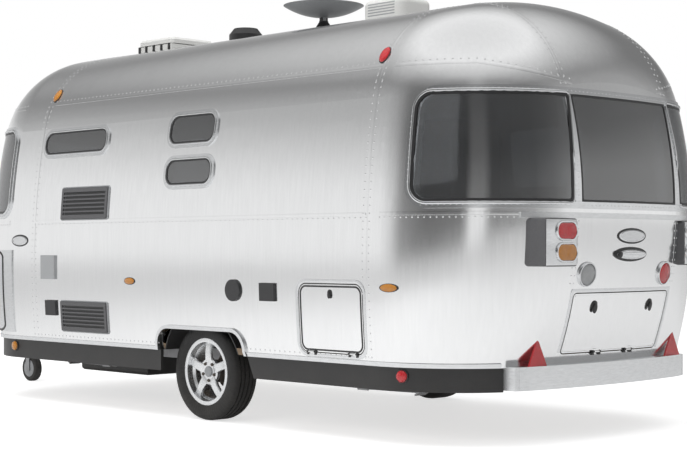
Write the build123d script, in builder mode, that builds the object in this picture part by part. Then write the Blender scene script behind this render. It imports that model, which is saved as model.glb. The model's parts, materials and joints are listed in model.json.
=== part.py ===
from build123d import *
import math
import os

os.makedirs("parts", exist_ok=True)

# Travel caravan with a single axle. Sizes are in millimetres, +X is forwards, +Y left and +Z up.
# The origin is on the ground under the middle of the whole length. Lengths are set from the axle.
ball_ahead = 3950
coupling_nose = 46
tail_reach = 2459
axle_x = (tail_reach - ball_ahead - coupling_nose) / 2
ball_x = axle_x + ball_ahead

# Body shell: the side and end walls bulge along arcs, and the roof is crowned
floor_z = 430
half_width = 1220
bulge_z = 980
half_width_floor = 1188
half_width_high = 1128
end_reach = 855
end_bulge_z = 1290
end_reach_floor = 683
end_reach_high = 770
taper_z = 1950
eave_slope = 0.25
end_crown_r = 4300
rear_turn_x = axle_x - 1590
front_turn_x = axle_x + 2050
crown_z = 2540
crown_r = 2620
shoulder_r = 700
wall_t = 45
loft_heights = (floor_z, 700, 990, 1290, 1620, taper_z, 2300, 2750)

# Panel joints
rear_seam_x = axle_x - 1530
front_seam_x = axle_x + 1770
belt_z = 1267
eave_z = 2100

# Skins proud of the walls: panes, trim and guards
pane_t = 5
trim_t = 8
moulding_t = 14
reach_all = 4500
clear = 0.3
gap = 6

# Floor and wheel boxes
floor_t = 40
well_r = 385
well_t = 8
well_in_y = 850

# Wheels and hubs
wheel_r = 305
tyre_w = 195
tyre_wall = 13
wheel_face_y = 1120
rim_seat_r = 190
rim_flange_r = 208
rim_t = 7
wheel_y = wheel_face_y - tyre_w / 2
rim_mount_y = wheel_y + 34
rim_disc_t = 18
hub_bore_r = 20
spindle_clear = 0.05
hub_r = 72
drum_r = 118
drum_w = 58
drum_in_y = 862
spokes = 5

# Wheel arch opening, seen from the side
arch_top_z = 571
arch_front = 365
arch_rear = 470
arch_corner_r = 110
arch_flare = 95
arch_trim_w = 22

# Skirts, sill rail and rear bumper below the walls
skirt_low_z = 298
skirt_inset = 12
skirt_t = 22
skirt_nose_half = 430
rail_h = 24
bumper_low_z = 308
bumper_high_z = 437
bumper_out = 62
bumper_in = 20
bumper_half = 800
bumper_zone_x = axle_x - 1800
nose_cut_x = axle_x + 2400
moulding_low_z = 1243
moulding_h = 30
moulding_half = 826

# End window band and its posts
band_low = 1332
band_high = 1926
band_rear_x = axle_x - 1830
band_front_x = axle_x + 2110
band_corner_r = 95
post_in = 448
post_out = 494
frame_w = 38
lap = 14

# Chassis: rails, drawbar, axle
rail_y = 560
rail_w = 60
rail_low_z = 320
rail_rear_x = axle_x - 2130
rail_front_x = axle_x + 2560
cross_xs = (-2080, -1180, 480, 1250, 2000, 2520)
cross_w = 50
cross_h = 60
drawbar_start_x = axle_x + 1980
drawbar_w = 70
drawbar_low_z = 335
drawbar_high_z = 425
drawbar_tip_y = 62
drawbar_end_x = ball_x - 190
axle_ahead = 150
axle_z = 268
axle_tube_r = 46
arm_in_y = 790
arm_t = 46

# Coupling head with its ball socket
head_low_z = 398
head_high_z = 470
head_r = 46
socket_r = 25.2
socket_depth = 44

# Jockey wheel
jockey_x = axle_x + 3330
jockey_y = 252
jockey_tube_r = 30
jockey_wheel_r = 105
jockey_wheel_w = 62
jockey_trail = 45
jockey_top_z = 740
jockey_tube_low_z = 300
fork_top_z = 222
fork_t = 8

# Corner steadies: pivot x from the axle, and which way the leg points
steadies = {"rear": (-1080, -1), "front": (1500, 1)}
steady_y = 760
steady_pivot_z = 262
steady_len = 470
steady_w = 40
steady_pin_r = 9
steady_drop = 31

# Roof fittings: middle ahead of the axle, middle to the left, half length, half width
rooflight = (1500, 165, 200, 200)
hatch_lip = 36
hatch_foot_z = 2490
lid_seat_z = 2562
lid_lift = 6
lid_t = 44
lid_hinge_out = 9
lid_hinge_z = 2574
lid_hinge_y = 110
lid_eye_len = 30
cowl_ahead = 905
cowl_foot_r = 120
cowl_top_r = 85
cowl_top_z = 2660
dish_ahead = 90
dish_r = 275
dish_rim_z = 2735
dish_depth = 80
dish_t = 6
dish_foot_r = 62
dish_foot_top_z = 2620
dish_pivot_z = 2642
dish_pin_r = 6
kingpin_r = 12
roof_unit = (-605, 0, 180, 150)
roof_unit_top_z = 2690

# Fittings on the left wall: lowest and highest x from the axle, lowest and highest z
vents = ((903, 1433, 1280, 1490), (905, 1435, 517, 715))
vent_slats = 6
vent_border = 22
right_hatch = (-560, -395, 866, 1032)
hatches = ((1500, 1665, 866, 1032), (1498, 1622, 615, 720), (-780, -650, 767, 874))
water_cap = (-402, 825, 66)
wall_near_y = 1000
wall_far_y = 1300

# Stone guards round both front corners
guard_rear = 2045
guard_in = 560
guard_low_z = 480
guard_high_z = 1068

# Rear lamps: clusters, their lenses, round lamps, triangles on the bumper
cluster_rear = -2446
cluster_front_x = axle_x - 2150
round_lamp_front = -2200
round_lamp_len = 200
cluster_in = 512
cluster_out = 790
cluster_low_z = 980
cluster_high_z = 1240
lens_y = 610
lens_len = 160
lens_h = 84
lens_out = 10
stop_z = 1172
blinker_z = 1056
round_y = 367
round_z = 935
round_r = 60
triangle_x = -2266
triangle_y = 640
triangle_half = 78
triangle_h = 148
store_box = (1400, 2220, 110, 500, 165, 300)

# Furniture: lowest and highest x from the axle, lowest and highest y, lowest and highest z
lounge = (
    (-1820, -700, 560, 1090, 470, 900),
    (-1820, -700, -1090, -560, 470, 900),
    (-2120, -1820, -790, 790, 470, 900),
    (-2235, -2100, -590, 590, 620, 1250),
)
kitchen = ((760, 1700, 500, 1090, 470, 1330),)
wardrobe = (
    (-620, -30, -840, -500, 470, 1950),
    (-620, -30, -1030, -840, 700, 1950),
    (-640, 660, 560, 840, 470, 1330),
    (-640, 660, 840, 1070, 700, 1330),
)
bed = ((1760, 2540, -850, 850, 470, 930),)


def wall_arc(low, mid, high):
    """Reach of a bulging wall at a height: a circle through three (reach, height) points,
    carried on at the slope of the eaves above the third one."""
    (y1, z1), (y2, z2), (y3, z3) = low, mid, high
    a, b = 2 * (y2 - y1), 2 * (z2 - z1)
    c = y2**2 + z2**2 - y1**2 - z1**2
    d, e = 2 * (y3 - y2), 2 * (z3 - z2)
    f = y3**2 + z3**2 - y2**2 - z2**2
    centre_y = (c * e - b * f) / (a * e - b * d)
    centre_z = (a * f - c * d) / (a * e - b * d)
    radius = math.hypot(y1 - centre_y, z1 - centre_z)

    def reach(z):
        if z <= z3:
            return centre_y + math.sqrt(radius**2 - (z - centre_z) ** 2)
        return y3 - eave_slope * (z - z3)

    return reach


side_reach = wall_arc((half_width_floor, floor_z), (half_width, bulge_z), (half_width_high, taper_z))
end_wall_reach = wall_arc((end_reach_floor, floor_z), (end_reach, end_bulge_z), (end_reach_high, taper_z))


def corner_radius(z):
    """Plan corner that runs tangent from the side wall into the crowned end wall."""
    level = min(z, taper_z)
    width, reach = side_reach(level), end_wall_reach(level)
    radius = (2 * end_crown_r * reach - reach**2 - width**2) / (2 * (end_crown_r - width))
    return radius - eave_slope * (z - level)


def end_outline(turn_x, forward, z, inset):
    """Plan points of one end at a height, from the left side round to the right side."""
    width = side_reach(z)
    radius = corner_radius(z)
    tip = end_wall_reach(z)
    along = math.sqrt((end_crown_r - radius) ** 2 - (width - radius) ** 2)
    start = tip - end_crown_r + along
    turn = math.acos((width - radius) / (end_crown_r - radius))
    small = radius - inset
    points = []
    for angle in (0, turn / 2, turn):
        points.append((start + small * math.sin(angle), width - radius + small * math.cos(angle)))
    points.append((tip - inset, 0))
    return [(turn_x + forward * x, y) for x, y in points]


def plan(z, inset):
    """Plan outline of the body at a height, as a sketch, moved in by inset."""
    tail = end_outline(rear_turn_x, -1, z, inset)
    nose = end_outline(front_turn_x, 1, z, inset)
    with BuildSketch(Plane.XY.offset(z)) as outline:
        with BuildLine():
            for start, bend, end, tip in (tail, [(x, -y) for x, y in nose]):
                across = [(x, -y) for x, y in (start, bend, end)]
                ThreePointArc(start, bend, end)
                ThreePointArc(end, tip, across[2])
                ThreePointArc(across[2], across[1], across[0])
            Line((tail[0][0], -tail[0][1]), (nose[0][0], -nose[0][1]))
            Line(nose[0], tail[0])
        make_face()
    return outline.sketch


def skin(inset):
    """Closed solid of the whole body with its faces moved in by inset."""
    with BuildPart() as body:
        for z in loft_heights:
            add(plan(z, inset))
        loft()
        with Locations((axle_x, 0, crown_z - crown_r)):
            Cylinder(crown_r - inset, 3 * reach_all, rotation=(0, 90, 0), mode=Mode.INTERSECT)
        top_edges = body.edges().filter_by(lambda edge: edge.center().Z > eave_z)
        fillet(top_edges, shoulder_r - inset)
    return body.part


outer = skin(0)
inner = skin(wall_t)
pane_skin = skin(-pane_t)
trim_skin = skin(-trim_t)
moulding_skin = skin(-moulding_t)

left = Plane(origin=(0, 0, 0), x_dir=(-1, 0, 0), z_dir=(0, 1, 0))
right = Plane(origin=(0, 0, 0), x_dir=(1, 0, 0), z_dir=(0, -1, 0))
rear = Plane(origin=(axle_x, 0, 0), x_dir=(0, -1, 0), z_dir=(-1, 0, 0))
front = Plane(origin=(axle_x, 0, 0), x_dir=(0, 1, 0), z_dir=(1, 0, 0))


def write(piece, name):
    piece.part.label = name
    export_step(piece.part, "parts/" + name + ".step")


def span(low, high):
    """Box between two corners."""
    size = [b - a for a, b in zip(low, high)]
    with BuildPart() as block:
        with Locations(low):
            Box(size[0], size[1], size[2], align=(Align.MIN, Align.MIN, Align.MIN))
    return block.part


def centred(place, grow, low_z, high_z):
    """Box round a roof fitting's place, grown all round."""
    ahead, across, half_len, half_wid = place
    low = (axle_x + ahead - half_len - grow, across - half_wid - grow, low_z)
    high = (axle_x + ahead + half_len + grow, across + half_wid + grow, high_z)
    return span(low, high)


# Windows of the side walls: middle x from the axle, middle z, length, height, corner radius
left_windows = (
    (1344, 1812, 720, 150, 60),
    (70, 1832, 440, 176, 62),
    (66, 1560, 440, 156, 62),
)
right_windows = (
    (-950, 1700, 660, 420, 70),
    (1480, 1740, 400, 330, 70),
)
window_frame_w = 30
door_window = ((815, 1660, 330, 440, 60),)

# Doors: wall plane, middle along the wall, length, lowest and highest z, corner radius
door_hinge_y = -(half_width + 14)
door_front = axle_x + 1120
door_len = 610
service_mid = axle_x - 1243
service_low_z = 487
locker_proud = 4
rear_locker_z = (497, 828)
front_locker_z = (540, 900)
doors = {
    "entrance_door": (right, door_front - door_len / 2, door_len, 462, 2040, 120),
    "service_door": (left, -service_mid, 515, service_low_z, 874, 55),
    "rear_locker_door": (rear, 0, 886, *rear_locker_z, 20),
    "front_locker_door": (front, 0, 900, *front_locker_z, 20),
}

# Hinge lines of the doors, proud of the wall at the door's edge. Local x runs along the line,
# y points out of the wall and z along the door. Then the hinges' places along the line, how
# deep their arms reach into the wall, and the radius that the free edge sweeps.
rear_hinge = (rear_turn_x - end_wall_reach(rear_locker_z[0]) - locker_proud, 0, rear_locker_z[0])
front_hinge = (front_turn_x + end_wall_reach(front_locker_z[1]) + locker_proud, 0, front_locker_z[1])
service_hinge = (service_mid, side_reach(service_low_z) + locker_proud, service_low_z)
hinge_lines = {
    "entrance_door": (
        Plane(origin=(door_front, door_hinge_y, 1000), x_dir=(0, 0, -1), z_dir=(-1, 0, 0)),
        (-400, 0, 400), 50, 613,
    ),
    "service_door": (
        Plane(origin=service_hinge, x_dir=(1, 0, 0), z_dir=(0, 0, 1)),
        (-170, 170), 30, 392,
    ),
    "rear_locker_door": (
        Plane(origin=rear_hinge, x_dir=(0, 1, 0), z_dir=(0, 0, 1)),
        (-150, 150), 30, 345,
    ),
    "front_locker_door": (
        Plane(origin=front_hinge, x_dir=(0, 1, 0), z_dir=(0, 0, -1)),
        (-150, 150), 30, 376,
    ),
}
knuckle_r = 6
knuckle_len = 44
ear_len = 16
ear_gap = 0.5
hinge_pin_r = 3.5


def door_space(name, grow):
    """Space of a door in its wall: its outline, swept clear round the hinge line."""
    plane, middle, length, low_z, high_z, corner = doors[name]
    line, places, depth, sweep_r = hinge_lines[name]
    with BuildPart() as block:
        with BuildSketch(plane):
            with Locations((middle, (low_z + high_z) / 2)):
                RectangleRounded(length + 2 * grow, high_z - low_z + 2 * grow, corner + grow)
        extrude(amount=reach_all)
    with BuildPart(line) as sweep:
        Cylinder(sweep_r + grow, 3 * reach_all, rotation=(0, 90, 0))
    with BuildPart() as space:
        add(block.part)
        add(sweep.part, mode=Mode.INTERSECT)
    return space.part


def door_knuckles(name):
    """Eyes on the door that turn on the hinge pins, on arms out of its edge."""
    line, places, depth, sweep_r = hinge_lines[name]
    with BuildPart(line) as knuckles:
        for place in places:
            with Locations((place, 0, 0)):
                Cylinder(knuckle_r, knuckle_len, rotation=(0, 90, 0))
                Box(knuckle_len, depth, 14, align=(Align.CENTER, Align.MAX, Align.MIN))
        for place in places:
            with Locations((place, 0, 0)):
                pin_hole_r = hinge_pin_r + spindle_clear
                Cylinder(pin_hole_r, 2 * knuckle_len, rotation=(0, 90, 0), mode=Mode.SUBTRACT)
    return knuckles.part


def hinge_ears(name, grow):
    """Ears and pins of a door's hinges, on arms that lie on the wall beside the door."""
    line, places, depth, sweep_r = hinge_lines[name]
    ear_at = knuckle_len / 2 + ear_gap + ear_len / 2
    with BuildPart(line) as ears:
        for place in places:
            for side in (-1, 1):
                with Locations((place + side * ear_at, 0, 0)):
                    Cylinder(knuckle_r + grow, ear_len + grow, rotation=(0, 90, 0))
                with Locations((place + side * ear_at, 0, -3.5)):
                    Box(ear_len, depth, 15, align=(Align.CENTER, Align.MAX, Align.MAX))
            with Locations((place, 0, 0)):
                Cylinder(hinge_pin_r, 2 * ear_at, rotation=(0, 90, 0))
    return ears.part


def side_prism(plane, windows, grow):
    """Prisms of a side wall's windows, grown all round."""
    flip = -1 if plane is left else 1
    with BuildPart() as prisms:
        with BuildSketch(plane):
            for middle_x, middle_z, length, height, corner in windows:
                with Locations((flip * (axle_x + middle_x), middle_z)):
                    RectangleRounded(length + 2 * grow, height + 2 * grow, corner + grow)
        extrude(amount=reach_all)
    return prisms.part


def arch_prism(grow):
    """Wheel arch opening as a prism across the vehicle, flared at its foot behind."""
    low = skirt_low_z - 50
    rear_x = axle_x - arch_rear - grow
    front_x = axle_x + arch_front + grow
    with BuildPart() as prism:
        with BuildSketch(left):
            with BuildLine():
                Polyline(
                    (-(rear_x - arch_flare), low),
                    (-rear_x, floor_z + rail_h),
                    (-rear_x, arch_top_z + grow),
                    (-front_x, arch_top_z + grow),
                    (-front_x, low),
                    close=True,
                )
            face = make_face()
            fillet(face.vertices().group_by(Axis.Y)[-1], arch_corner_r + grow)
        extrude(amount=reach_all, both=True)
    return prism.part


def whole_band(forward, grow):
    """Window band that wraps one end, with round corners on the side walls."""
    start = (band_front_x if forward > 0 else band_rear_x) - forward * grow
    low, high = sorted((start, start + forward * reach_all))
    with BuildPart() as band:
        add(span((low, -reach_all, band_low - grow), (high, reach_all, band_high + grow)))
        edges = band.edges().filter_by(Axis.Y).filter_by_position(Axis.X, start - 1, start + 1)
        fillet(edges, band_corner_r + grow)
    return band.part


def post_blocks(forward, grow):
    """The two posts between the panes of an end."""
    low, high = sorted((axle_x + forward * 2000, axle_x + forward * reach_all))
    with BuildPart() as posts:
        for side in (-1, 1):
            y_low, y_high = sorted((side * (post_in - grow), side * (post_out + grow)))
            add(span((low, y_low, band_low), (high, y_high, band_high)))
    return posts.part


def window_holes(forward):
    """Openings behind the panes of an end, a lap smaller than the panes."""
    with BuildPart() as holes:
        add(whole_band(forward, -lap))
        add(post_blocks(forward, lap), mode=Mode.SUBTRACT)
    return holes.part


def laid_on(form, skin_solid):
    """What a skin cuts from a form, lying on the outside of the walls."""
    with BuildPart() as layer:
        add(form)
        add(skin_solid, mode=Mode.INTERSECT)
        add(outer, mode=Mode.SUBTRACT)
    return layer.part


# Wall panels, each as thick as the wall, split where the sheets meet
with BuildPart() as shell:
    add(outer)
    add(inner, mode=Mode.SUBTRACT)
walls = shell.part

with BuildPart() as side_wall_left:
    add(walls)
    add(span((rear_seam_x, 0, 0), (front_seam_x, reach_all, eave_z)), mode=Mode.INTERSECT)
    add(side_prism(left, left_windows, -lap), mode=Mode.SUBTRACT)
    add(door_space("service_door", gap), mode=Mode.SUBTRACT)
    add(arch_prism(0), mode=Mode.SUBTRACT)
write(side_wall_left, "side_wall_left")

with BuildPart() as side_wall_right:
    add(walls)
    add(span((rear_seam_x, -reach_all, 0), (front_seam_x, 0, eave_z)), mode=Mode.INTERSECT)
    add(side_prism(right, right_windows, -lap), mode=Mode.SUBTRACT)
    add(door_space("entrance_door", gap), mode=Mode.SUBTRACT)
    add(arch_prism(0), mode=Mode.SUBTRACT)
write(side_wall_right, "side_wall_right")

with BuildPart() as roof_shell:
    add(walls)
    add(span((rear_seam_x, -reach_all, eave_z), (front_seam_x, reach_all, reach_all)), mode=Mode.INTERSECT)
    add(centred(rooflight, -hatch_lip, eave_z, reach_all), mode=Mode.SUBTRACT)
write(roof_shell, "roof_shell")

for end_name, forward, seam_x in (("rear", -1, rear_seam_x), ("front", 1, front_seam_x)):
    low_x, high_x = sorted((seam_x, seam_x + forward * reach_all))
    door_name = end_name + "_locker_door"
    with BuildPart() as upper_shell:
        add(walls)
        add(span((low_x, -reach_all, belt_z), (high_x, reach_all, reach_all)), mode=Mode.INTERSECT)
        add(window_holes(forward), mode=Mode.SUBTRACT)
    write(upper_shell, end_name + "_upper_shell")
    with BuildPart() as lower_shell:
        add(walls)
        add(span((low_x, -reach_all, 0), (high_x, reach_all, belt_z)), mode=Mode.INTERSECT)
        add(door_space(door_name, gap), mode=Mode.SUBTRACT)
    write(lower_shell, end_name + "_lower_shell")
    with BuildPart() as locker_door:
        add(walls)
        add(span((low_x, -reach_all, 0), (high_x, reach_all, belt_z)), mode=Mode.INTERSECT)
        add(door_space(door_name, 0), mode=Mode.INTERSECT)
        add(hinge_ears(door_name, ear_gap), mode=Mode.SUBTRACT)
        add(door_knuckles(door_name))
    write(locker_door, door_name)

# Panes lie on the walls over their openings, with a frame round each
with BuildPart() as pane_forms:
    add(side_prism(left, left_windows, 0))
    add(side_prism(right, right_windows, 0))
    for forward in (-1, 1):
        add(whole_band(forward, 0))
        add(post_blocks(forward, 0), mode=Mode.SUBTRACT)
with BuildPart() as window_panes:
    add(laid_on(pane_forms.part, pane_skin))
write(window_panes, "window_panes")

with BuildPart() as frame_forms:
    add(side_prism(left, left_windows, window_frame_w))
    add(side_prism(left, left_windows, clear), mode=Mode.SUBTRACT)
    add(side_prism(right, right_windows, window_frame_w))
    add(side_prism(right, right_windows, clear), mode=Mode.SUBTRACT)
    for forward in (-1, 1):
        add(whole_band(forward, frame_w))
        add(whole_band(forward, clear), mode=Mode.SUBTRACT)
        add(post_blocks(forward, -clear))
with BuildPart() as window_frames:
    add(laid_on(frame_forms.part, trim_skin))
write(window_frames, "window_frames")

# Doors of the side walls
with BuildPart() as entrance_door:
    add(walls)
    add(span((rear_seam_x, -reach_all, 0), (front_seam_x, 0, eave_z)), mode=Mode.INTERSECT)
    add(door_space("entrance_door", 0), mode=Mode.INTERSECT)
    add(side_prism(right, door_window, -lap), mode=Mode.SUBTRACT)
    add(door_knuckles("entrance_door"))
write(entrance_door, "entrance_door")

with BuildPart() as entrance_door_pane:
    add(laid_on(side_prism(right, door_window, 0), pane_skin))
write(entrance_door_pane, "entrance_door_pane")

with BuildPart() as service_door:
    add(walls)
    add(span((rear_seam_x, 0, 0), (front_seam_x, reach_all, eave_z)), mode=Mode.INTERSECT)
    add(door_space("service_door", 0), mode=Mode.INTERSECT)
    add(hinge_ears("service_door", ear_gap), mode=Mode.SUBTRACT)
    add(door_knuckles("service_door"))
write(service_door, "service_door")

with BuildPart() as hinge_pins:
    for name in doors:
        add(hinge_ears(name, 0))
    add(outer, mode=Mode.SUBTRACT)
write(hinge_pins, "hinge_pins")

# Floor, with a box over each wheel
with BuildPart() as wheel_boxes:
    with BuildSketch(left.offset(well_in_y - well_t)):
        with Locations((-axle_x, wheel_r)):
            Circle(well_r)
    extrude(amount=reach_all)
    with BuildSketch(left.offset(well_in_y)):
        with Locations((-axle_x, wheel_r)):
            Circle(well_r - well_t)
    extrude(amount=reach_all, mode=Mode.SUBTRACT)
    add(inner, mode=Mode.INTERSECT)
    mirror(about=Plane.XZ)
write(wheel_boxes, "wheel_boxes")

with BuildPart() as floor_pan:
    add(inner)
    add(span((-reach_all, -reach_all, floor_z), (reach_all, reach_all, floor_z + floor_t)), mode=Mode.INTERSECT)
    for side_plane in (left, right):
        flip = -1 if side_plane is left else 1
        with BuildSketch(side_plane.offset(well_in_y - well_t)):
            with Locations((flip * axle_x, wheel_r)):
                Circle(well_r)
        extrude(amount=reach_all, mode=Mode.SUBTRACT)
write(floor_pan, "floor_pan")

# Skirts under the walls, open at the arches, the bumper and the drawbar
with BuildPart() as skirts:
    with BuildSketch(Plane.XY.offset(skirt_low_z)):
        add(plan(floor_z, skirt_inset).moved(Location((0, 0, -floor_z))))
        add(plan(floor_z, skirt_inset + skirt_t).moved(Location((0, 0, -floor_z))), mode=Mode.SUBTRACT)
    extrude(amount=floor_z - skirt_low_z)
    add(arch_prism(0), mode=Mode.SUBTRACT)
    add(span((-reach_all, -bumper_half, 0), (bumper_zone_x, bumper_half, reach_all)), mode=Mode.SUBTRACT)
    nose_cut = span((nose_cut_x, -skirt_nose_half, 0), (reach_all, skirt_nose_half, reach_all))
    add(nose_cut, mode=Mode.SUBTRACT)
write(skirts, "skirts")

with BuildPart() as rear_bumper:
    with BuildSketch(Plane.XY.offset(bumper_low_z)):
        add(plan(floor_z, -bumper_out).moved(Location((0, 0, -floor_z))))
        add(plan(floor_z, bumper_in).moved(Location((0, 0, -floor_z))), mode=Mode.SUBTRACT)
    extrude(amount=bumper_high_z - bumper_low_z)
    bumper_zone = span((-reach_all, -bumper_half, 0), (bumper_zone_x, bumper_half, reach_all))
    add(bumper_zone, mode=Mode.INTERSECT)
    add(outer, mode=Mode.SUBTRACT)
write(rear_bumper, "rear_bumper")

# Bright mouldings on the walls: sill rail, arch trims and the belt moulding behind
with BuildPart() as sill_form:
    add(span((-reach_all, -reach_all, floor_z), (reach_all, reach_all, floor_z + rail_h)))
    add(arch_prism(arch_trim_w + 1), mode=Mode.SUBTRACT)
    low = (-reach_all, -bumper_half - 30, 0)
    add(span(low, (bumper_zone_x, bumper_half + 30, reach_all)), mode=Mode.SUBTRACT)
with BuildPart() as moulding_forms:
    add(arch_prism(arch_trim_w))
    add(arch_prism(0), mode=Mode.SUBTRACT)
    low = (-reach_all, -moulding_half, moulding_low_z)
    add(span(low, (bumper_zone_x, moulding_half, moulding_low_z + moulding_h)))
with BuildPart() as bright_mouldings:
    add(laid_on(sill_form.part, trim_skin))
    add(laid_on(moulding_forms.part, moulding_skin))
write(bright_mouldings, "bright_mouldings")


def drawbar_y(x):
    """Middle of a drawbar arm at x."""
    share = (x - drawbar_start_x) / (drawbar_end_x - drawbar_start_x)
    return rail_y + share * (drawbar_tip_y - rail_y)


# Chassis: two rails, cross members and the drawbar that meets at the coupling
with BuildPart() as chassis_frame:
    for side in (-1, 1):
        low = (rail_rear_x, side * rail_y - rail_w / 2, rail_low_z)
        add(span(low, (rail_front_x, side * rail_y + rail_w / 2, floor_z)))
        with BuildSketch(Plane.XY.offset(drawbar_low_z)):
            with BuildLine():
                Polyline(
                    (drawbar_start_x, side * (rail_y - drawbar_w / 2)),
                    (drawbar_end_x, side * (drawbar_tip_y - drawbar_w / 2)),
                    (drawbar_end_x, side * (drawbar_tip_y + drawbar_w / 2)),
                    (drawbar_start_x, side * (rail_y + drawbar_w / 2)),
                    close=True,
                )
            make_face()
        extrude(amount=drawbar_high_z - drawbar_low_z)
        add(
            span(
                (axle_x + axle_ahead - 90, side * rail_y - rail_w / 2, axle_z),
                (axle_x + axle_ahead + 90, side * rail_y + rail_w / 2, rail_low_z),
            )
        )
    for offset in cross_xs:
        low = (axle_x + offset - cross_w / 2, -rail_y, floor_z - cross_h)
        add(span(low, (axle_x + offset + cross_w / 2, rail_y, floor_z)))
    tip_half = drawbar_tip_y + drawbar_w / 2
    add(span((drawbar_end_x - 150, -tip_half, drawbar_low_z), (drawbar_end_x, tip_half, drawbar_high_z)))
    # Clamp of the jockey wheel on the left arm
    clamp_r = jockey_tube_r + 14
    with Locations((jockey_x, jockey_y, 0)):
        with Locations((0, 0, drawbar_low_z)):
            Cylinder(clamp_r, 90, align=(Align.CENTER, Align.CENTER, Align.MIN))
    add(span((jockey_x - 25, drawbar_y(jockey_x), drawbar_low_z), (jockey_x + 25, jockey_y, drawbar_high_z)))
    with Locations((jockey_x, jockey_y, 0)):
        Cylinder(jockey_tube_r + clear, reach_all, mode=Mode.SUBTRACT)
    # Ears and pin of each corner steady, under the floor
    for offset, forward in steadies.values():
        for side in (-1, 1):
            for ear in (-1, 1):
                ear_y = side * steady_y + ear * (steady_w / 2 + 8)
                low = (axle_x + offset - 45, ear_y - 4, steady_pivot_z - 22)
                add(span(low, (axle_x + offset + 45, ear_y + 4, floor_z)))
            inner_y, outer_y = sorted((side * rail_y, side * (steady_y + steady_w / 2 + 12)))
            low = (axle_x + offset - 45, inner_y, floor_z - 12)
            add(span(low, (axle_x + offset + 45, outer_y, floor_z)))
            with Locations((axle_x + offset, side * steady_y, steady_pivot_z)):
                Cylinder(steady_pin_r, steady_w + 24, rotation=(90, 0, 0))
    # Seat for the axle tube
    with Locations((axle_x + axle_ahead, 0, axle_z)):
        Cylinder(axle_tube_r, reach_all, rotation=(90, 0, 0), mode=Mode.SUBTRACT)
write(chassis_frame, "chassis_frame")

with BuildPart() as axle_beam:
    with Locations((axle_x + axle_ahead, 0, axle_z)):
        Cylinder(axle_tube_r, 2 * (arm_in_y + arm_t), rotation=(90, 0, 0))
    for side in (-1, 1):
        side_plane = left if side > 0 else right
        flip = -1 if side > 0 else 1
        with BuildSketch(side_plane.offset(arm_in_y)):
            with Locations((flip * (axle_x + axle_ahead), axle_z)):
                Circle(axle_tube_r + 12)
            with Locations((flip * axle_x, wheel_r)):
                Circle(44)
            make_hull()
        extrude(amount=arm_t)
        with Locations((axle_x, side * (arm_in_y + arm_t), wheel_r)):
            spindle_len = rim_mount_y - arm_in_y - arm_t - 6
            tilt = (-90, 0, 0) if side > 0 else (90, 0, 0)
            Cylinder(
                hub_bore_r - spindle_clear,
                spindle_len,
                rotation=tilt,
                align=(Align.CENTER, Align.CENTER, Align.MIN),
            )
write(axle_beam, "axle_beam")


def turned_ring(side, points):
    """Ring turned about the wheel's axle from (distance across, radius) points."""
    with BuildPart() as ring:
        with BuildSketch(Plane(origin=(axle_x, 0, wheel_r), x_dir=(0, side, 0), z_dir=(side, 0, 0))):
            with BuildLine():
                Polyline(*points, close=True)
            make_face()
        axis = Axis((axle_x, 0, wheel_r), (0, 1, 0))
        revolve(axis=axis, revolution_arc=360)
    return ring.part


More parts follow.
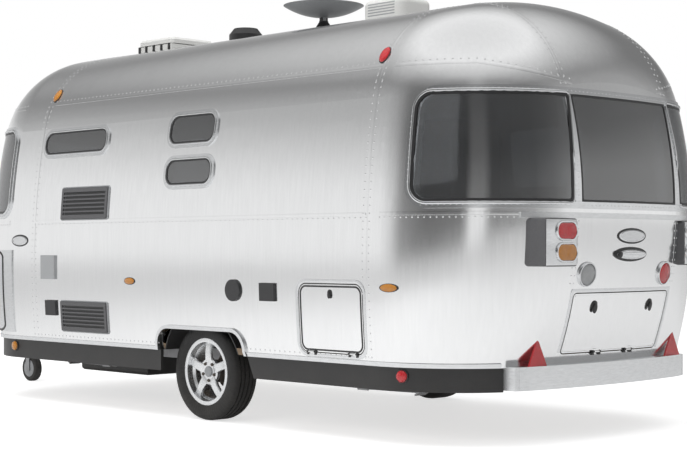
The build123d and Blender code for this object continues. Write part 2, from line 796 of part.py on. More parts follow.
for side_name, side in (("left", 1), ("right", -1)):
    side_plane = left if side > 0 else right
    flip = -1 if side > 0 else 1
    with BuildPart() as drum:
        for start_y, end_y, radius in (
            (drum_in_y, drum_in_y + drum_w, drum_r),
            (drum_in_y + drum_w, rim_mount_y, hub_r),
        ):
            with BuildSketch(side_plane.offset(start_y)):
                with Locations((flip * axle_x, wheel_r)):
                    Circle(radius)
            extrude(amount=end_y - start_y)
        with BuildSketch(side_plane.offset(drum_in_y)):
            with Locations((flip * axle_x, wheel_r)):
                Circle(hub_bore_r)
        extrude(amount=rim_mount_y - drum_in_y - 4, mode=Mode.SUBTRACT)
    write(drum, "brake_drum_" + side_name)

    half = tyre_w / 2
    lip = half - 14
    with BuildPart() as rim:
        add(
            turned_ring(
                side,
                (
                    (wheel_y - lip, rim_seat_r - rim_t),
                    (wheel_y - lip, rim_flange_r),
                    (wheel_y - lip + rim_t, rim_flange_r),
                    (wheel_y - lip + rim_t, rim_seat_r),
                    (wheel_y + lip - rim_t, rim_seat_r),
                    (wheel_y + lip - rim_t, rim_flange_r),
                    (wheel_y + lip, rim_flange_r),
                    (wheel_y + lip, rim_seat_r - rim_t),
                ),
            )
        )
        with BuildSketch(side_plane.offset(rim_mount_y)):
            with Locations((flip * axle_x, wheel_r)):
                Circle(hub_r + 8)
                with PolarLocations(0, spokes, start_angle=90):
                    with Locations((0, 0)):
                        Trapezoid(66, rim_seat_r - 3, 84, align=(Align.CENTER, Align.MIN), rotation=-90)
        extrude(amount=rim_disc_t)
        with BuildSketch(side_plane.offset(rim_mount_y + rim_disc_t)):
            with Locations((flip * axle_x, wheel_r)):
                Circle(32)
        extrude(amount=10)
    write(rim, "rim_" + side_name)

    bead = rim_seat_r + 0.5
    inside = half - tyre_wall
    with BuildPart() as tyre:
        add(
            turned_ring(
                side,
                (
                    (wheel_y - lip + rim_t + 1, bead),
                    (wheel_y - lip + rim_t + 1, rim_flange_r + 2),
                    (wheel_y - half, rim_flange_r + 45),
                    (wheel_y - half + 3, wheel_r - 30),
                    (wheel_y - half + 22, wheel_r - 6),
                    (wheel_y - half + 40, wheel_r),
                    (wheel_y + half - 40, wheel_r),
                    (wheel_y + half - 22, wheel_r - 6),
                    (wheel_y + half - 3, wheel_r - 30),
                    (wheel_y + half, rim_flange_r + 45),
                    (wheel_y + lip - rim_t - 1, rim_flange_r + 2),
                    (wheel_y + lip - rim_t - 1, bead),
                    (wheel_y + lip - rim_t - 20, bead),
                    (wheel_y + inside, rim_flange_r + 45),
                    (wheel_y + inside - 20, wheel_r - 20),
                    (wheel_y - inside + 20, wheel_r - 20),
                    (wheel_y - inside, rim_flange_r + 45),
                    (wheel_y - lip + rim_t + 20, bead),
                ),
            )
        )
    write(tyre, "tyre_" + side_name)

# Coupling head: round nose over the ball, with its lever
with BuildPart() as coupling_head:
    with BuildSketch(Plane.XY.offset(head_low_z)):
        with Locations((ball_x, 0)):
            Circle(head_r)
        with Locations((ball_x, 0)):
            Rectangle(ball_x - drawbar_end_x, 2 * head_r - 16, align=(Align.MAX, Align.CENTER))
    extrude(amount=head_high_z - head_low_z)
    fillet(coupling_head.edges().group_by(Axis.Z)[-1], 14)
    with Locations((ball_x, 0, head_low_z)):
        Cylinder(socket_r, socket_depth, align=(Align.CENTER, Align.CENTER, Align.MIN), mode=Mode.SUBTRACT)
    add(span((ball_x - 170, -12, head_high_z - 10), (ball_x - 10, 12, head_high_z + 26)))
write(coupling_head, "coupling_head")

# Jockey wheel: stem with its crank, swivelling fork, wheel
with BuildPart() as jockey_stem:
    with Locations((jockey_x, jockey_y, jockey_tube_low_z)):
        Cylinder(jockey_tube_r, jockey_top_z - jockey_tube_low_z, align=(Align.CENTER, Align.CENTER, Align.MIN))
    with Locations((jockey_x, jockey_y, fork_top_z + 1)):
        Cylinder(jockey_tube_r - 7, 120, align=(Align.CENTER, Align.CENTER, Align.MIN))
        Cylinder(kingpin_r, 60, mode=Mode.SUBTRACT)
    with Locations((jockey_x, jockey_y, jockey_top_z)):
        Cylinder(9, 40, align=(Align.CENTER, Align.CENTER, Align.MIN))
    add(span((jockey_x - 10, jockey_y - 10, jockey_top_z + 28), (jockey_x + 130, jockey_y + 10, jockey_top_z + 40)))
    with Locations((jockey_x + 120, jockey_y, jockey_top_z + 40)):
        Cylinder(11, 90, align=(Align.CENTER, Align.CENTER, Align.MIN))
write(jockey_stem, "jockey_stem")

jockey_axle_x = jockey_x - jockey_trail
cheek_y = jockey_wheel_w / 2 + 6
with BuildPart() as jockey_fork:
    low = (jockey_axle_x - 30, jockey_y - cheek_y - fork_t, fork_top_z - fork_t)
    add(span(low, (jockey_x + 30, jockey_y + cheek_y + fork_t, fork_top_z)))
    for ear in (-1, 1):
        y_low, y_high = sorted((jockey_y + ear * cheek_y, jockey_y + ear * (cheek_y + fork_t)))
        low = (jockey_axle_x - 24, y_low, jockey_wheel_r - 20)
        add(span(low, (jockey_axle_x + 24, y_high, fork_top_z - 1)))
    with Locations((jockey_axle_x, jockey_y, jockey_wheel_r)):
        Cylinder(9.95, 2 * (cheek_y + fork_t), rotation=(90, 0, 0))
    with Locations((jockey_x, jockey_y, fork_top_z - 1)):
        Cylinder(kingpin_r - spindle_clear, 28, align=(Align.CENTER, Align.CENTER, Align.MIN))
write(jockey_fork, "jockey_fork")

with BuildPart() as jockey_wheel:
    with Locations((jockey_axle_x, jockey_y, jockey_wheel_r)):
        Cylinder(jockey_wheel_r, jockey_wheel_w, rotation=(90, 0, 0))
        fillet(jockey_wheel.edges(), 14)
        Cylinder(10, jockey_wheel_w + 2, rotation=(90, 0, 0), mode=Mode.SUBTRACT)
write(jockey_wheel, "jockey_wheel")

# Corner steadies, folded up under the floor
for end_name, (offset, forward) in steadies.items():
    for side_name, side in (("left", 1), ("right", -1)):
        pivot_x = axle_x + offset
        with BuildPart() as steady:
            low_y = side * steady_y - steady_w / 2
            far_x = pivot_x + forward * steady_len
            with BuildSketch(Plane(origin=(0, low_y, 0), x_dir=(1, 0, 0), z_dir=(0, -1, 0))):
                with BuildLine():
                    Polyline(
                        (pivot_x - forward * 18, steady_pivot_z - 18),
                        (pivot_x - forward * 18, steady_pivot_z + 20),
                        (far_x, steady_pivot_z + 14),
                        (far_x, steady_pivot_z - 12),
                        close=True,
                    )
                make_face()
            extrude(amount=-steady_w)
            with Locations((pivot_x, side * steady_y, steady_pivot_z)):
                Cylinder(steady_pin_r + spindle_clear, steady_w + 2, rotation=(90, 0, 0), mode=Mode.SUBTRACT)
            with Locations(Location((far_x, side * steady_y, steady_pivot_z), (0, -forward * steady_drop, 0))):
                Box(90, 90, 8)
        write(steady, "steady_" + end_name + "_" + side_name)

# Roof fittings
ahead, across, half_len, half_wid = rooflight
lid_hinge = (axle_x + ahead + half_len + lid_hinge_out, across, lid_hinge_z)
with BuildPart() as rooflight_frame:
    add(centred(rooflight, 0, hatch_foot_z, lid_seat_z))
    add(centred(rooflight, -hatch_lip, hatch_foot_z, lid_seat_z), mode=Mode.SUBTRACT)
    for side in (-1, 1):
        for edge in (-1, 1):
            ear_y = across + side * lid_hinge_y + edge * (lid_eye_len / 2 + ear_gap + 5)
            low = (lid_hinge[0] - lid_hinge_out - 1, ear_y - 5, lid_seat_z - 18)
            add(span(low, (lid_hinge[0] + 5, ear_y + 5, lid_seat_z)))
            low = (lid_hinge[0] - 5, ear_y - 5, lid_seat_z - 1)
            add(span(low, (lid_hinge[0] + 5, ear_y + 5, lid_hinge_z)))
            with Locations((lid_hinge[0], ear_y, lid_hinge_z)):
                Cylinder(5, 10, rotation=(90, 0, 0))
        with Locations((lid_hinge[0], across + side * lid_hinge_y, lid_hinge_z)):
            Cylinder(2.5, lid_eye_len + 10, rotation=(90, 0, 0))
    add(outer, mode=Mode.SUBTRACT)
write(rooflight_frame, "rooflight_frame")

with BuildPart() as rooflight_lid:
    add(centred(rooflight, 0, lid_seat_z + lid_lift, lid_seat_z + lid_lift + lid_t))
    fillet(rooflight_lid.edges().filter_by(Axis.Z), 40)
    chamfer(rooflight_lid.edges().group_by(Axis.Z)[-1], 16)
    for side in (-1, 1):
        eye_y = across + side * lid_hinge_y
        low = (lid_hinge[0] - lid_hinge_out - 6, eye_y - lid_eye_len / 2, lid_hinge_z - 4)
        add(span(low, (lid_hinge[0], eye_y + lid_eye_len / 2, lid_hinge_z + 5)))
        with Locations((lid_hinge[0], eye_y, lid_hinge_z)):
            Cylinder(5, lid_eye_len, rotation=(90, 0, 0))
    with Locations(lid_hinge):
        Cylinder(2.5 + spindle_clear, 2 * half_wid, rotation=(90, 0, 0), mode=Mode.SUBTRACT)
write(rooflight_lid, "rooflight_lid")


def turned_up(x, outline):
    """Round solid turned about the upright line at x from (radius, height) points."""
    with BuildPart() as round_solid:
        with BuildSketch(Plane(origin=(x, 0, 0), x_dir=(1, 0, 0), z_dir=(0, -1, 0))):
            with BuildLine():
                Polyline(*outline, close=True)
            make_face()
        revolve(axis=Axis((x, 0, 0), (0, 0, 1)))
    return round_solid.part


cowl_step_z = cowl_top_z - 45
dish_x = axle_x + dish_ahead
with BuildPart() as roof_cowl:
    cowl_outline = (
        (0, hatch_foot_z), (cowl_foot_r, hatch_foot_z), (cowl_foot_r, cowl_step_z),
        (cowl_top_r, cowl_top_z), (0, cowl_top_z),
    )
    add(turned_up(axle_x + cowl_ahead, cowl_outline))
    add(outer, mode=Mode.SUBTRACT)
write(roof_cowl, "roof_cowl")

with BuildPart() as dish_foot:
    foot_outline = (
        (0, hatch_foot_z), (dish_foot_r, hatch_foot_z), (dish_foot_r, dish_foot_top_z - 45),
        (34, dish_foot_top_z), (0, dish_foot_top_z),
    )
    add(turned_up(dish_x, foot_outline))
    add(outer, mode=Mode.SUBTRACT)
    with Locations((dish_x, 0, dish_foot_top_z)):
        Cylinder(kingpin_r, 50, mode=Mode.SUBTRACT)
write(dish_foot, "dish_foot")

with BuildPart() as dish_turntable:
    with Locations((dish_x, 0, dish_foot_top_z + 1)):
        Cylinder(32, 8, align=(Align.CENTER, Align.CENTER, Align.MIN))
        Cylinder(kingpin_r - spindle_clear, 24, align=(Align.CENTER, Align.CENTER, Align.MAX))
    for ear in (-1, 1):
        y_low, y_high = sorted((ear * 20, ear * 28))
        add(span((dish_x - 12, y_low, dish_foot_top_z + 8), (dish_x + 12, y_high, dish_pivot_z + 10)))
    with Locations((dish_x, 0, dish_pivot_z)):
        Cylinder(dish_pin_r - spindle_clear, 56, rotation=(90, 0, 0))
write(dish_turntable, "dish_turntable")

# The dish is a slice of a hollow ball, on an eye that turns on the pin
bowl_r = (dish_r**2 + dish_depth**2) / (2 * dish_depth)
with BuildPart() as satellite_dish:
    with Locations((dish_x, 0, dish_rim_z - dish_depth + bowl_r)):
        Sphere(bowl_r)
        Sphere(bowl_r - dish_t, mode=Mode.SUBTRACT)
    low = (dish_x - dish_r, -dish_r, dish_rim_z - dish_depth - 1)
    add(span(low, (dish_x + dish_r, dish_r, dish_rim_z)), mode=Mode.INTERSECT)
    add(span((dish_x - 10, -16, dish_pivot_z - 9), (dish_x + 10, 16, dish_rim_z - dish_depth + 3)))
    with Locations((dish_x, 0, dish_pivot_z)):
        Cylinder(dish_pin_r, 40, rotation=(90, 0, 0), mode=Mode.SUBTRACT)
write(satellite_dish, "satellite_dish")

with BuildPart() as roof_unit_box:
    add(centred(roof_unit, 0, hatch_foot_z, roof_unit_top_z))
    fillet(roof_unit_box.edges().filter_by(Axis.Z), 60)
    fillet(roof_unit_box.edges().group_by(Axis.Z)[-1], 40)
    add(outer, mode=Mode.SUBTRACT)
write(roof_unit_box, "roof_unit")

# Vents and hatches on the left wall
with BuildPart() as vent_forms:
    for low_x, high_x, low_z, high_z in vents:
        add(span((axle_x + low_x, wall_near_y, low_z), (axle_x + high_x, wall_far_y, high_z)))
with BuildPart() as slot_forms:
    for low_x, high_x, low_z, high_z in vents:
        pitch = (high_z - low_z - 2 * vent_border) / vent_slats
        for row in range(vent_slats):
            slot_z = low_z + vent_border + (row + 0.2) * pitch
            low = (axle_x + low_x + vent_border, wall_near_y, slot_z)
            add(span(low, (axle_x + high_x - vent_border, wall_far_y, slot_z + 0.6 * pitch)))
    add(pane_skin, mode=Mode.SUBTRACT)
with BuildPart() as side_vents:
    add(laid_on(vent_forms.part, moulding_skin))
    add(slot_forms.part, mode=Mode.SUBTRACT)
write(side_vents, "side_vents")

with BuildPart() as hatch_forms:
    for low_x, high_x, low_z, high_z in hatches:
        add(span((axle_x + low_x, wall_near_y, low_z), (axle_x + high_x, wall_far_y, high_z)))
    cap_x, cap_z, cap_r = water_cap
    with Locations((axle_x + cap_x, half_width, cap_z)):
        Cylinder(cap_r, 200, rotation=(90, 0, 0))
    low_x, high_x, low_z, high_z = right_hatch
    add(span((axle_x + low_x, -wall_far_y, low_z), (axle_x + high_x, -wall_near_y, high_z)))
with BuildPart() as side_hatches:
    add(laid_on(hatch_forms.part, moulding_skin))
write(side_hatches, "side_hatches")

with BuildPart() as guard_forms:
    for side in (-1, 1):
        y_low, y_high = sorted((side * guard_in, side * reach_all))
        add(span((axle_x + guard_rear, y_low, guard_low_z), (reach_all, y_high, guard_high_z)))
with BuildPart() as stone_guards:
    add(laid_on(guard_forms.part, trim_skin))
write(stone_guards, "stone_guards")


# Lamps
def facing_rear(ahead, y, z):
    """Plane that faces rearwards at a point."""
    return Plane(origin=(axle_x + ahead, y, z), x_dir=(0, -1, 0), z_dir=(-1, 0, 0))


with BuildPart() as lamp_housings:
    for side in (-1, 1):
        y_low, y_high = sorted((side * cluster_in, side * cluster_out))
        low = (axle_x + cluster_rear, y_low, cluster_low_z)
        add(span(low, (cluster_front_x, y_high, cluster_high_z)))
    fillet(lamp_housings.edges().filter_by(Axis.X), 24)
    add(outer, mode=Mode.SUBTRACT)
write(lamp_housings, "lamp_housings")

with BuildPart() as red_lamps:
    for side in (-1, 1):
        with BuildSketch(facing_rear(cluster_rear, side * lens_y, stop_z)):
            SlotOverall(lens_len, lens_h)
        extrude(amount=lens_out)
        with BuildSketch(facing_rear(triangle_x, side * triangle_y, bumper_high_z)):
            with BuildLine():
                Polyline((-triangle_half, 0), (triangle_half, 0), (0, triangle_h), close=True)
            make_face()
        extrude(amount=lens_out)
    with BuildSketch(facing_rear(round_lamp_front, -round_y, round_z)):
        Circle(round_r)
    extrude(amount=round_lamp_len)
    add(outer, mode=Mode.SUBTRACT)
write(red_lamps, "red_lamps")

with BuildPart() as amber_lamps:
    for side in (-1, 1):
        with BuildSketch(facing_rear(cluster_rear, side * lens_y, blinker_z)):
            SlotOverall(lens_len, lens_h)
        extrude(amount=lens_out)
write(amber_lamps, "amber_lamps")

with BuildPart() as clear_lamp:
    with BuildSketch(facing_rear(round_lamp_front, round_y, round_z)):
        Circle(round_r)
    extrude(amount=round_lamp_len)
    add(outer, mode=Mode.SUBTRACT)
write(clear_lamp, "clear_lamp")

# Store box between the rails under the nose
low_x, high_x, low_y, high_y, low_z, high_z = store_box
with BuildPart() as underslung_box:
    add(span((axle_x + low_x, low_y, low_z), (axle_x + high_x, high_y, high_z)))
    fillet(underslung_box.edges().group_by(Axis.Z)[0], 25)
    for share in (0.2, 0.8):
        strap_x = axle_x + low_x + share * (high_x - low_x)
        low = (strap_x - 20, low_y, high_z - 10)
        add(span(low, (strap_x + 20, rail_y - 20, rail_low_z)))
write(underslung_box, "underslung_box")

# Furniture inside, as plain blocks that show through the panes
for name, blocks in (
    ("rear_lounge", lounge),
    ("kitchen_units", kitchen),
    ("wardrobes", wardrobe),
    ("front_bed", bed),
):
    with BuildPart() as furniture:
        for low_x, high_x, low_y, high_y, low_z, high_z in blocks:
            add(span((axle_x + low_x, low_y, low_z), (axle_x + high_x, high_y, high_z)))
    write(furniture, name)
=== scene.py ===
import json
import math

import bmesh
import bpy
from mathutils import Matrix, Vector
from mathutils.bvhtree import BVHTree


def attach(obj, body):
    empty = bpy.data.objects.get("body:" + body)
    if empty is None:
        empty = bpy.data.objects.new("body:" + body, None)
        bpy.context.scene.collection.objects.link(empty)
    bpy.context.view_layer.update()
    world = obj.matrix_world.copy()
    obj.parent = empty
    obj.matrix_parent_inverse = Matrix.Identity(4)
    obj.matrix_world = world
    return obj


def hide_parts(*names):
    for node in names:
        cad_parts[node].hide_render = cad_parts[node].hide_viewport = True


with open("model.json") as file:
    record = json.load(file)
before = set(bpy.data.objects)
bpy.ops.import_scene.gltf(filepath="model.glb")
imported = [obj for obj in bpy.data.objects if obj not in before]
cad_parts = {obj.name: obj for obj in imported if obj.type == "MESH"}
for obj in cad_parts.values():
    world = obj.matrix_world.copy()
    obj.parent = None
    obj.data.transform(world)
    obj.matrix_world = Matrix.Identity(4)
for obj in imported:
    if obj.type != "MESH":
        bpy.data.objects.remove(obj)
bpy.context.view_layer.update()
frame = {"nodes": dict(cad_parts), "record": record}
nodes = frame["nodes"]
bpy.ops.object.select_all(action="DESELECT")

# Places in metres: the axle, the panel seams, the turning points of both ends, the windows' edges.
# DOME_FOOT, DOME_TOP and LOW_END are degrees round those turning points.
AXLE = -0.7685
REAR_SEAM = AXLE - 1.53
FRONT_SEAM = AXLE + 1.77
REAR_TURN = AXLE - 1.59
FRONT_TURN = AXLE + 2.05
BELT = 1.267
EAVE = 2.10
BODY = "caravan_body"
WHEEL_Y = 1.0225
AXLE_Z = 0.305
TREAD_CUTS = 74
DOME_FOOT = 18
DOME_TOP = {"rear": 84, "front": 100}
LOW_END = {"rear": 27, "front": 30}
PANE_LOW = 1.337
PANE_HIGH = 1.921
FRAME_LOW = 1.312
FRAME_HIGH = 1.946
SIDES = ((1, "left"), (-1, "right"))
ENDS = ((-1, "rear"), (1, "front"))
# A ray that starts outside one wall ends before the far one
RAY_REACH = 4.1


# Shared effects


def add(tree, kind, **settings):
    """A shader node with some of its settings."""
    node = tree.nodes.new("ShaderNode" + kind)
    for name, value in settings.items():
        setattr(node, name, value)
    return node


def put(tree, socket, value):
    """Gives a socket another socket's output, or a plain value."""
    if isinstance(value, bpy.types.NodeSocket):
        tree.links.new(value, socket)
    else:
        socket.default_value = value


def maths(tree, operation, first, second):
    node = add(tree, "Math", operation=operation)
    put(tree, node.inputs[0], first)
    put(tree, node.inputs[1], second)
    return node.outputs["Value"]


def ranged(tree, value, start, end, low=0, high=1):
    """A value carried over from one range to another."""
    node = add(tree, "MapRange")
    for socket, given in zip(node.inputs, (value, start, end, low, high)):
        put(tree, socket, given)
    return node.outputs["Result"]


def object_place(tree):
    return add(tree, "TexCoord").outputs["Object"]


def new_group(name, inputs, outputs):
    """An empty shader group with its sockets, and the nodes that stand for its two ends."""
    group = bpy.data.node_groups.new(name, "ShaderNodeTree")
    for label, kind, value in inputs:
        socket = group.interface.new_socket(label, in_out="INPUT", socket_type=kind)
        socket.default_value = value
    for label, kind in outputs:
        group.interface.new_socket(label, in_out="OUTPUT", socket_type=kind)
    entry = group.nodes.new("NodeGroupInput")
    leave = group.nodes.new("NodeGroupOutput")
    return group, entry.outputs, leave.inputs


def grain_effect():
    """Uneven grain: a noise that can be drawn out along an axis."""
    group, entry, leave = new_group(
        "surface grain",
        (("Scale", "NodeSocketFloat", 60.0), ("Stretch", "NodeSocketVector", (1, 1, 1))),
        (("Value", "NodeSocketFloat"),),
    )
    mapping = add(group, "Mapping")
    noise = add(group, "TexNoise")
    put(group, mapping.inputs["Vector"], object_place(group))
    put(group, mapping.inputs["Scale"], entry["Stretch"])
    put(group, noise.inputs["Vector"], mapping.outputs["Vector"])
    put(group, noise.inputs["Scale"], entry["Scale"])
    put(group, noise.inputs["Detail"], 4)
    put(group, leave["Value"], noise.outputs["Fac"])
    return group


def dust_effect():
    """Road dust that gathers towards the ground in patches."""
    number = "NodeSocketFloat"
    group, entry, leave = new_group(
        "road dust",
        (("Full at", number, 0.1), ("Gone at", number, 0.6), ("Amount", number, 0.3)),
        (("Mask", number),),
    )
    place = object_place(group)
    split = add(group, "SeparateXYZ")
    noise = add(group, "TexNoise")
    put(group, split.inputs["Vector"], place)
    put(group, noise.inputs["Vector"], place)
    put(group, noise.inputs["Scale"], 9)
    put(group, noise.inputs["Detail"], 5)
    fade = ranged(group, split.outputs["Z"], entry["Full at"], entry["Gone at"], 1, 0)
    patches = maths(group, "MULTIPLY", fade, noise.outputs["Fac"])
    put(group, leave["Mask"], maths(group, "MULTIPLY", patches, entry["Amount"]))
    return group


def weave_effect():
    """Plain weave: two crossed sets of threads."""
    group, entry, leave = new_group(
        "plain weave",
        (("Threads", "NodeSocketFloat", 300.0),),
        (("Height", "NodeSocketFloat"),),
    )
    place = object_place(group)
    warp = add(group, "TexWave")
    weft = add(group, "TexWave", bands_direction="Y")
    for wave in (warp, weft):
        put(group, wave.inputs["Vector"], place)
        put(group, wave.inputs["Scale"], entry["Threads"])
    put(group, leave["Height"], maths(group, "MULTIPLY", warp.outputs["Fac"], weft.outputs["Fac"]))
    return group


grain_group = grain_effect()
dust_group = dust_effect()
weave_group = weave_effect()


def grain_value(tree, scale, stretch):
    node = add(tree, "Group", node_tree=grain_group)
    put(tree, node.inputs["Scale"], scale)
    put(tree, node.inputs["Stretch"], stretch)
    return node.outputs["Value"]


def blend_colours(tree, factor, first, second):
    """A colour mix whose two colours are values or sockets."""
    mix = add(tree, "Mix", data_type="RGBA")
    put(tree, mix.inputs[0], factor)
    for socket, colour in ((mix.inputs[6], first), (mix.inputs[7], second)):
        put(tree, socket, (*colour, 1) if isinstance(colour, tuple) else colour)
    return mix.outputs[2]


def bumped(tree, height, depth, under=None):
    """A bump from a height socket, over another bump if one is given."""
    bump = add(tree, "Bump")
    put(tree, bump.inputs["Strength"], 1)
    put(tree, bump.inputs["Distance"], depth)
    put(tree, bump.inputs["Height"], height)
    if under is not None:
        put(tree, bump.inputs["Normal"], under)
    return bump.outputs["Normal"]


def finish(
    name, colour, other, rough, scale, stretch=(1, 1, 1), depth=0.0002, metal=0.0, coat=0.0, dust=0.0,
    ripple=None,
):
    """A finish of two close tones over grain, with roughness and bump from the same grain.

    A ripple, as (scale, stretch, depth), is a slower unevenness under it, such as dents in sheet.
    """
    material = bpy.data.materials.new(name)
    material.use_nodes = True
    tree = material.node_tree
    shader = tree.nodes["Principled BSDF"].inputs
    put(tree, shader["Metallic"], metal)
    put(tree, shader["Coat Weight"], coat)
    grain = grain_value(tree, scale, stretch)
    tone = blend_colours(tree, grain, colour, other)
    if dust:
        mask = add(tree, "Group", node_tree=dust_group)
        put(tree, mask.inputs["Amount"], dust)
        tone = blend_colours(tree, mask.outputs["Mask"], tone, (0.30, 0.27, 0.23))
    put(tree, shader["Base Color"], tone)
    put(tree, shader["Roughness"], ranged(tree, grain, 0, 1, *rough))
    under = None
    if ripple:
        slow_scale, slow_stretch, slow_depth = ripple
        under = bumped(tree, grain_value(tree, slow_scale, slow_stretch), slow_depth)
    put(tree, shader["Normal"], bumped(tree, grain, depth, under))
    return material


def opened(material):
    """The node tree of a material, and the sockets of its shader."""
    tree = material.node_tree
    return tree, tree.nodes["Principled BSDF"].inputs


def bump_over(material, height, depth):
    """One more bump over the one that a finish has."""
    tree, shader = opened(material)
    under = shader["Normal"].links[0].from_socket
    put(tree, shader["Normal"], bumped(tree, height, depth, under))


def tinted_glass():
    material = finish(
        "tinted glass", (0.17, 0.18, 0.19), (0.12, 0.125, 0.13), (0.02, 0.06), 3,
        stretch=(1, 1, 0.3), depth=0.0012,
    )
    tree, shader = opened(material)
    put(tree, shader["IOR"], 2.3)
    put(tree, shader["Transmission Weight"], 0.92)
    return material


def lens(name, colour, other):
    """Moulded lens plastic with fine prisms across it."""
    material = finish(name, colour, other, (0.08, 0.16), 40, depth=0.0001, coat=0.6)
    tree, shader = opened(material)
    put(tree, shader["Transmission Weight"], 0.25)
    prisms = add(tree, "TexWave", bands_direction="Y")
    put(tree, prisms.inputs["Scale"], 60)
    put(tree, prisms.inputs["Vector"], object_place(tree))
    bump_over(material, prisms.outputs["Fac"], 0.0012)
    return material


def tread_rubber():
    """Tyre rubber with cuts across the tread, counted round the axle."""
    material = finish(
        "tyre rubber", (0.014, 0.014, 0.015), (0.026, 0.026, 0.026), (0.55, 0.72), 90, dust=0.12,
    )
    tree = material.node_tree
    turn = add(tree, "Mapping")
    centre = add(tree, "Mapping")
    angle = add(tree, "TexGradient", gradient_type="RADIAL")
    put(tree, turn.inputs["Rotation"], (math.radians(-90), 0, 0))
    put(tree, turn.inputs["Vector"], object_place(tree))
    put(tree, centre.inputs["Location"], (-AXLE, -AXLE_Z, 0))
    put(tree, centre.inputs["Vector"], turn.outputs["Vector"])
    put(tree, angle.inputs["Vector"], centre.outputs["Vector"])
    count = maths(tree, "MULTIPLY", angle.outputs["Fac"], TREAD_CUTS)
    bump_over(material, ranged(tree, maths(tree, "PINGPONG", count, 0.5), 0.06, 0.12), 0.002)
    return material


def hatch_plastic():
    """Dark hatches, apart from the satin one forward on the left."""
    material = finish("hatch plastic", (0.02, 0.02, 0.022), (0.05, 0.05, 0.052), (0.38, 0.5), 120)
    tree, shader = opened(material)
    dark = shader["Base Color"].links[0].from_socket
    split = add(tree, "SeparateXYZ")
    put(tree, split.inputs["Vector"], object_place(tree))
    ahead = maths(tree, "GREATER_THAN", split.outputs["X"], 0.72)
    above = maths(tree, "GREATER_THAN", split.outputs["Z"], 0.865)
    both = maths(tree, "MULTIPLY", ahead, above)
    put(tree, shader["Base Color"], blend_colours(tree, both, dark, (0.42, 0.43, 0.44)))
    return material


def woven(name, colour, other):
    """Woven seat cloth."""
    material = finish(name, colour, other, (0.8, 0.95), 22, depth=0.0006)
    tree, shader = opened(material)
    put(tree, shader["Sheen Weight"], 0.3)
    threads = add(tree, "Group", node_tree=weave_group)
    bump_over(material, threads.outputs["Height"], 0.0008)
    return material


looks = {
    "skin": finish(
        "polished sheet", (0.93, 0.935, 0.94), (0.86, 0.865, 0.87), (0.12, 0.20), 60,
        stretch=(1.0, 1.0, 0.05), depth=0.000012, metal=1.0, ripple=(1.3, (1, 1, 0.5), 0.0022),
    ),
    "bright_trim": finish(
        "bright trim", (0.82, 0.83, 0.84), (0.66, 0.67, 0.68), (0.18, 0.30), 120,
        stretch=(0.2, 0.2, 1), depth=0.00005, metal=1.0,
    ),
    "tinted_glass": tinted_glass(),
    "black_plastic": finish(
        "black plastic", (0.016, 0.016, 0.017), (0.034, 0.034, 0.035), (0.34, 0.48), 160, dust=0.12,
    ),
    "white_plastic": finish("white plastic", (0.78, 0.78, 0.76), (0.70, 0.70, 0.68), (0.30, 0.42), 90),
    "vent_plastic": finish("vent plastic", (0.09, 0.09, 0.095), (0.14, 0.14, 0.145), (0.40, 0.55), 130),
    "hatch_plastic": hatch_plastic(),
    "floor_board": finish(
        "floor board", (0.30, 0.21, 0.13), (0.20, 0.14, 0.09), (0.55, 0.75), 6,
        stretch=(0.4, 7, 1), dust=0.4,
    ),
    "galvanised": finish(
        "galvanised steel", (0.50, 0.51, 0.53), (0.36, 0.37, 0.39), (0.38, 0.60), 34,
        metal=0.85, dust=0.45,
    ),
    "drum_iron": finish(
        "drum iron", (0.10, 0.095, 0.09), (0.17, 0.13, 0.10), (0.55, 0.8), 60, metal=0.6, dust=0.4,
    ),
    "alloy": finish(
        "cast alloy", (0.86, 0.87, 0.88), (0.76, 0.77, 0.78), (0.22, 0.34), 70, metal=0.9, coat=0.4,
    ),
    "tyre": tread_rubber(),
    "grey_paint": finish("grey paint", (0.40, 0.41, 0.42), (0.33, 0.34, 0.35), (0.32, 0.45), 60),
    "red_lens": lens("red lens", (0.86, 0.035, 0.045), (0.68, 0.018, 0.028)),
    "amber_lens": lens("amber lens", (0.86, 0.36, 0.04), (0.66, 0.24, 0.03)),
    "clear_lens": lens("clear lens", (0.62, 0.63, 0.64), (0.46, 0.47, 0.48)),
    "upholstery": woven("seat cloth", (0.30, 0.29, 0.27), (0.22, 0.21, 0.20)),
    "furniture_wood": finish(
        "furniture wood", (0.46, 0.28, 0.15), (0.30, 0.17, 0.085), (0.35, 0.5), 5,
        stretch=(1, 6, 6), coat=0.2,
    ),
}

for part in frame["record"]["subparts"]:
    mesh_data = nodes[part["node"]].data
    mesh_data.materials.clear()
    mesh_data.materials.append(looks[part["material_slot"]])


# Modelling helpers


def done(name, slot, body=BODY, smooth=35):
    """Takes the active object as a finished piece: named, placed in its mesh, dressed and riding."""
    piece = bpy.context.object
    bpy.ops.object.transform_apply(location=True, rotation=True, scale=True)
    bpy.ops.object.shade_smooth_by_angle(angle=math.radians(smooth))
    piece.name = name
    piece.data.name = name
    piece.data.materials.clear()
    piece.data.materials.append(looks[slot])
    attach(piece, body)
    bpy.ops.object.select_all(action="DESELECT")
    return piece


def activated(name, data):
    """A new object from a mesh, selected alone and active."""
    piece = bpy.data.objects.new(name, data)
    bpy.context.collection.objects.link(piece)
    bpy.ops.object.select_all(action="DESELECT")
    bpy.context.view_layer.objects.active = piece
    piece.select_set(True)
    return piece


def rounded_edges(width, segments=2):
    piece = bpy.context.object
    bevel = piece.modifiers.new("edges", "BEVEL")
    bevel.width = width
    bevel.segments = segments
    bevel.limit_method = "ANGLE"
    bpy.ops.object.modifier_apply(modifier=bevel.name)


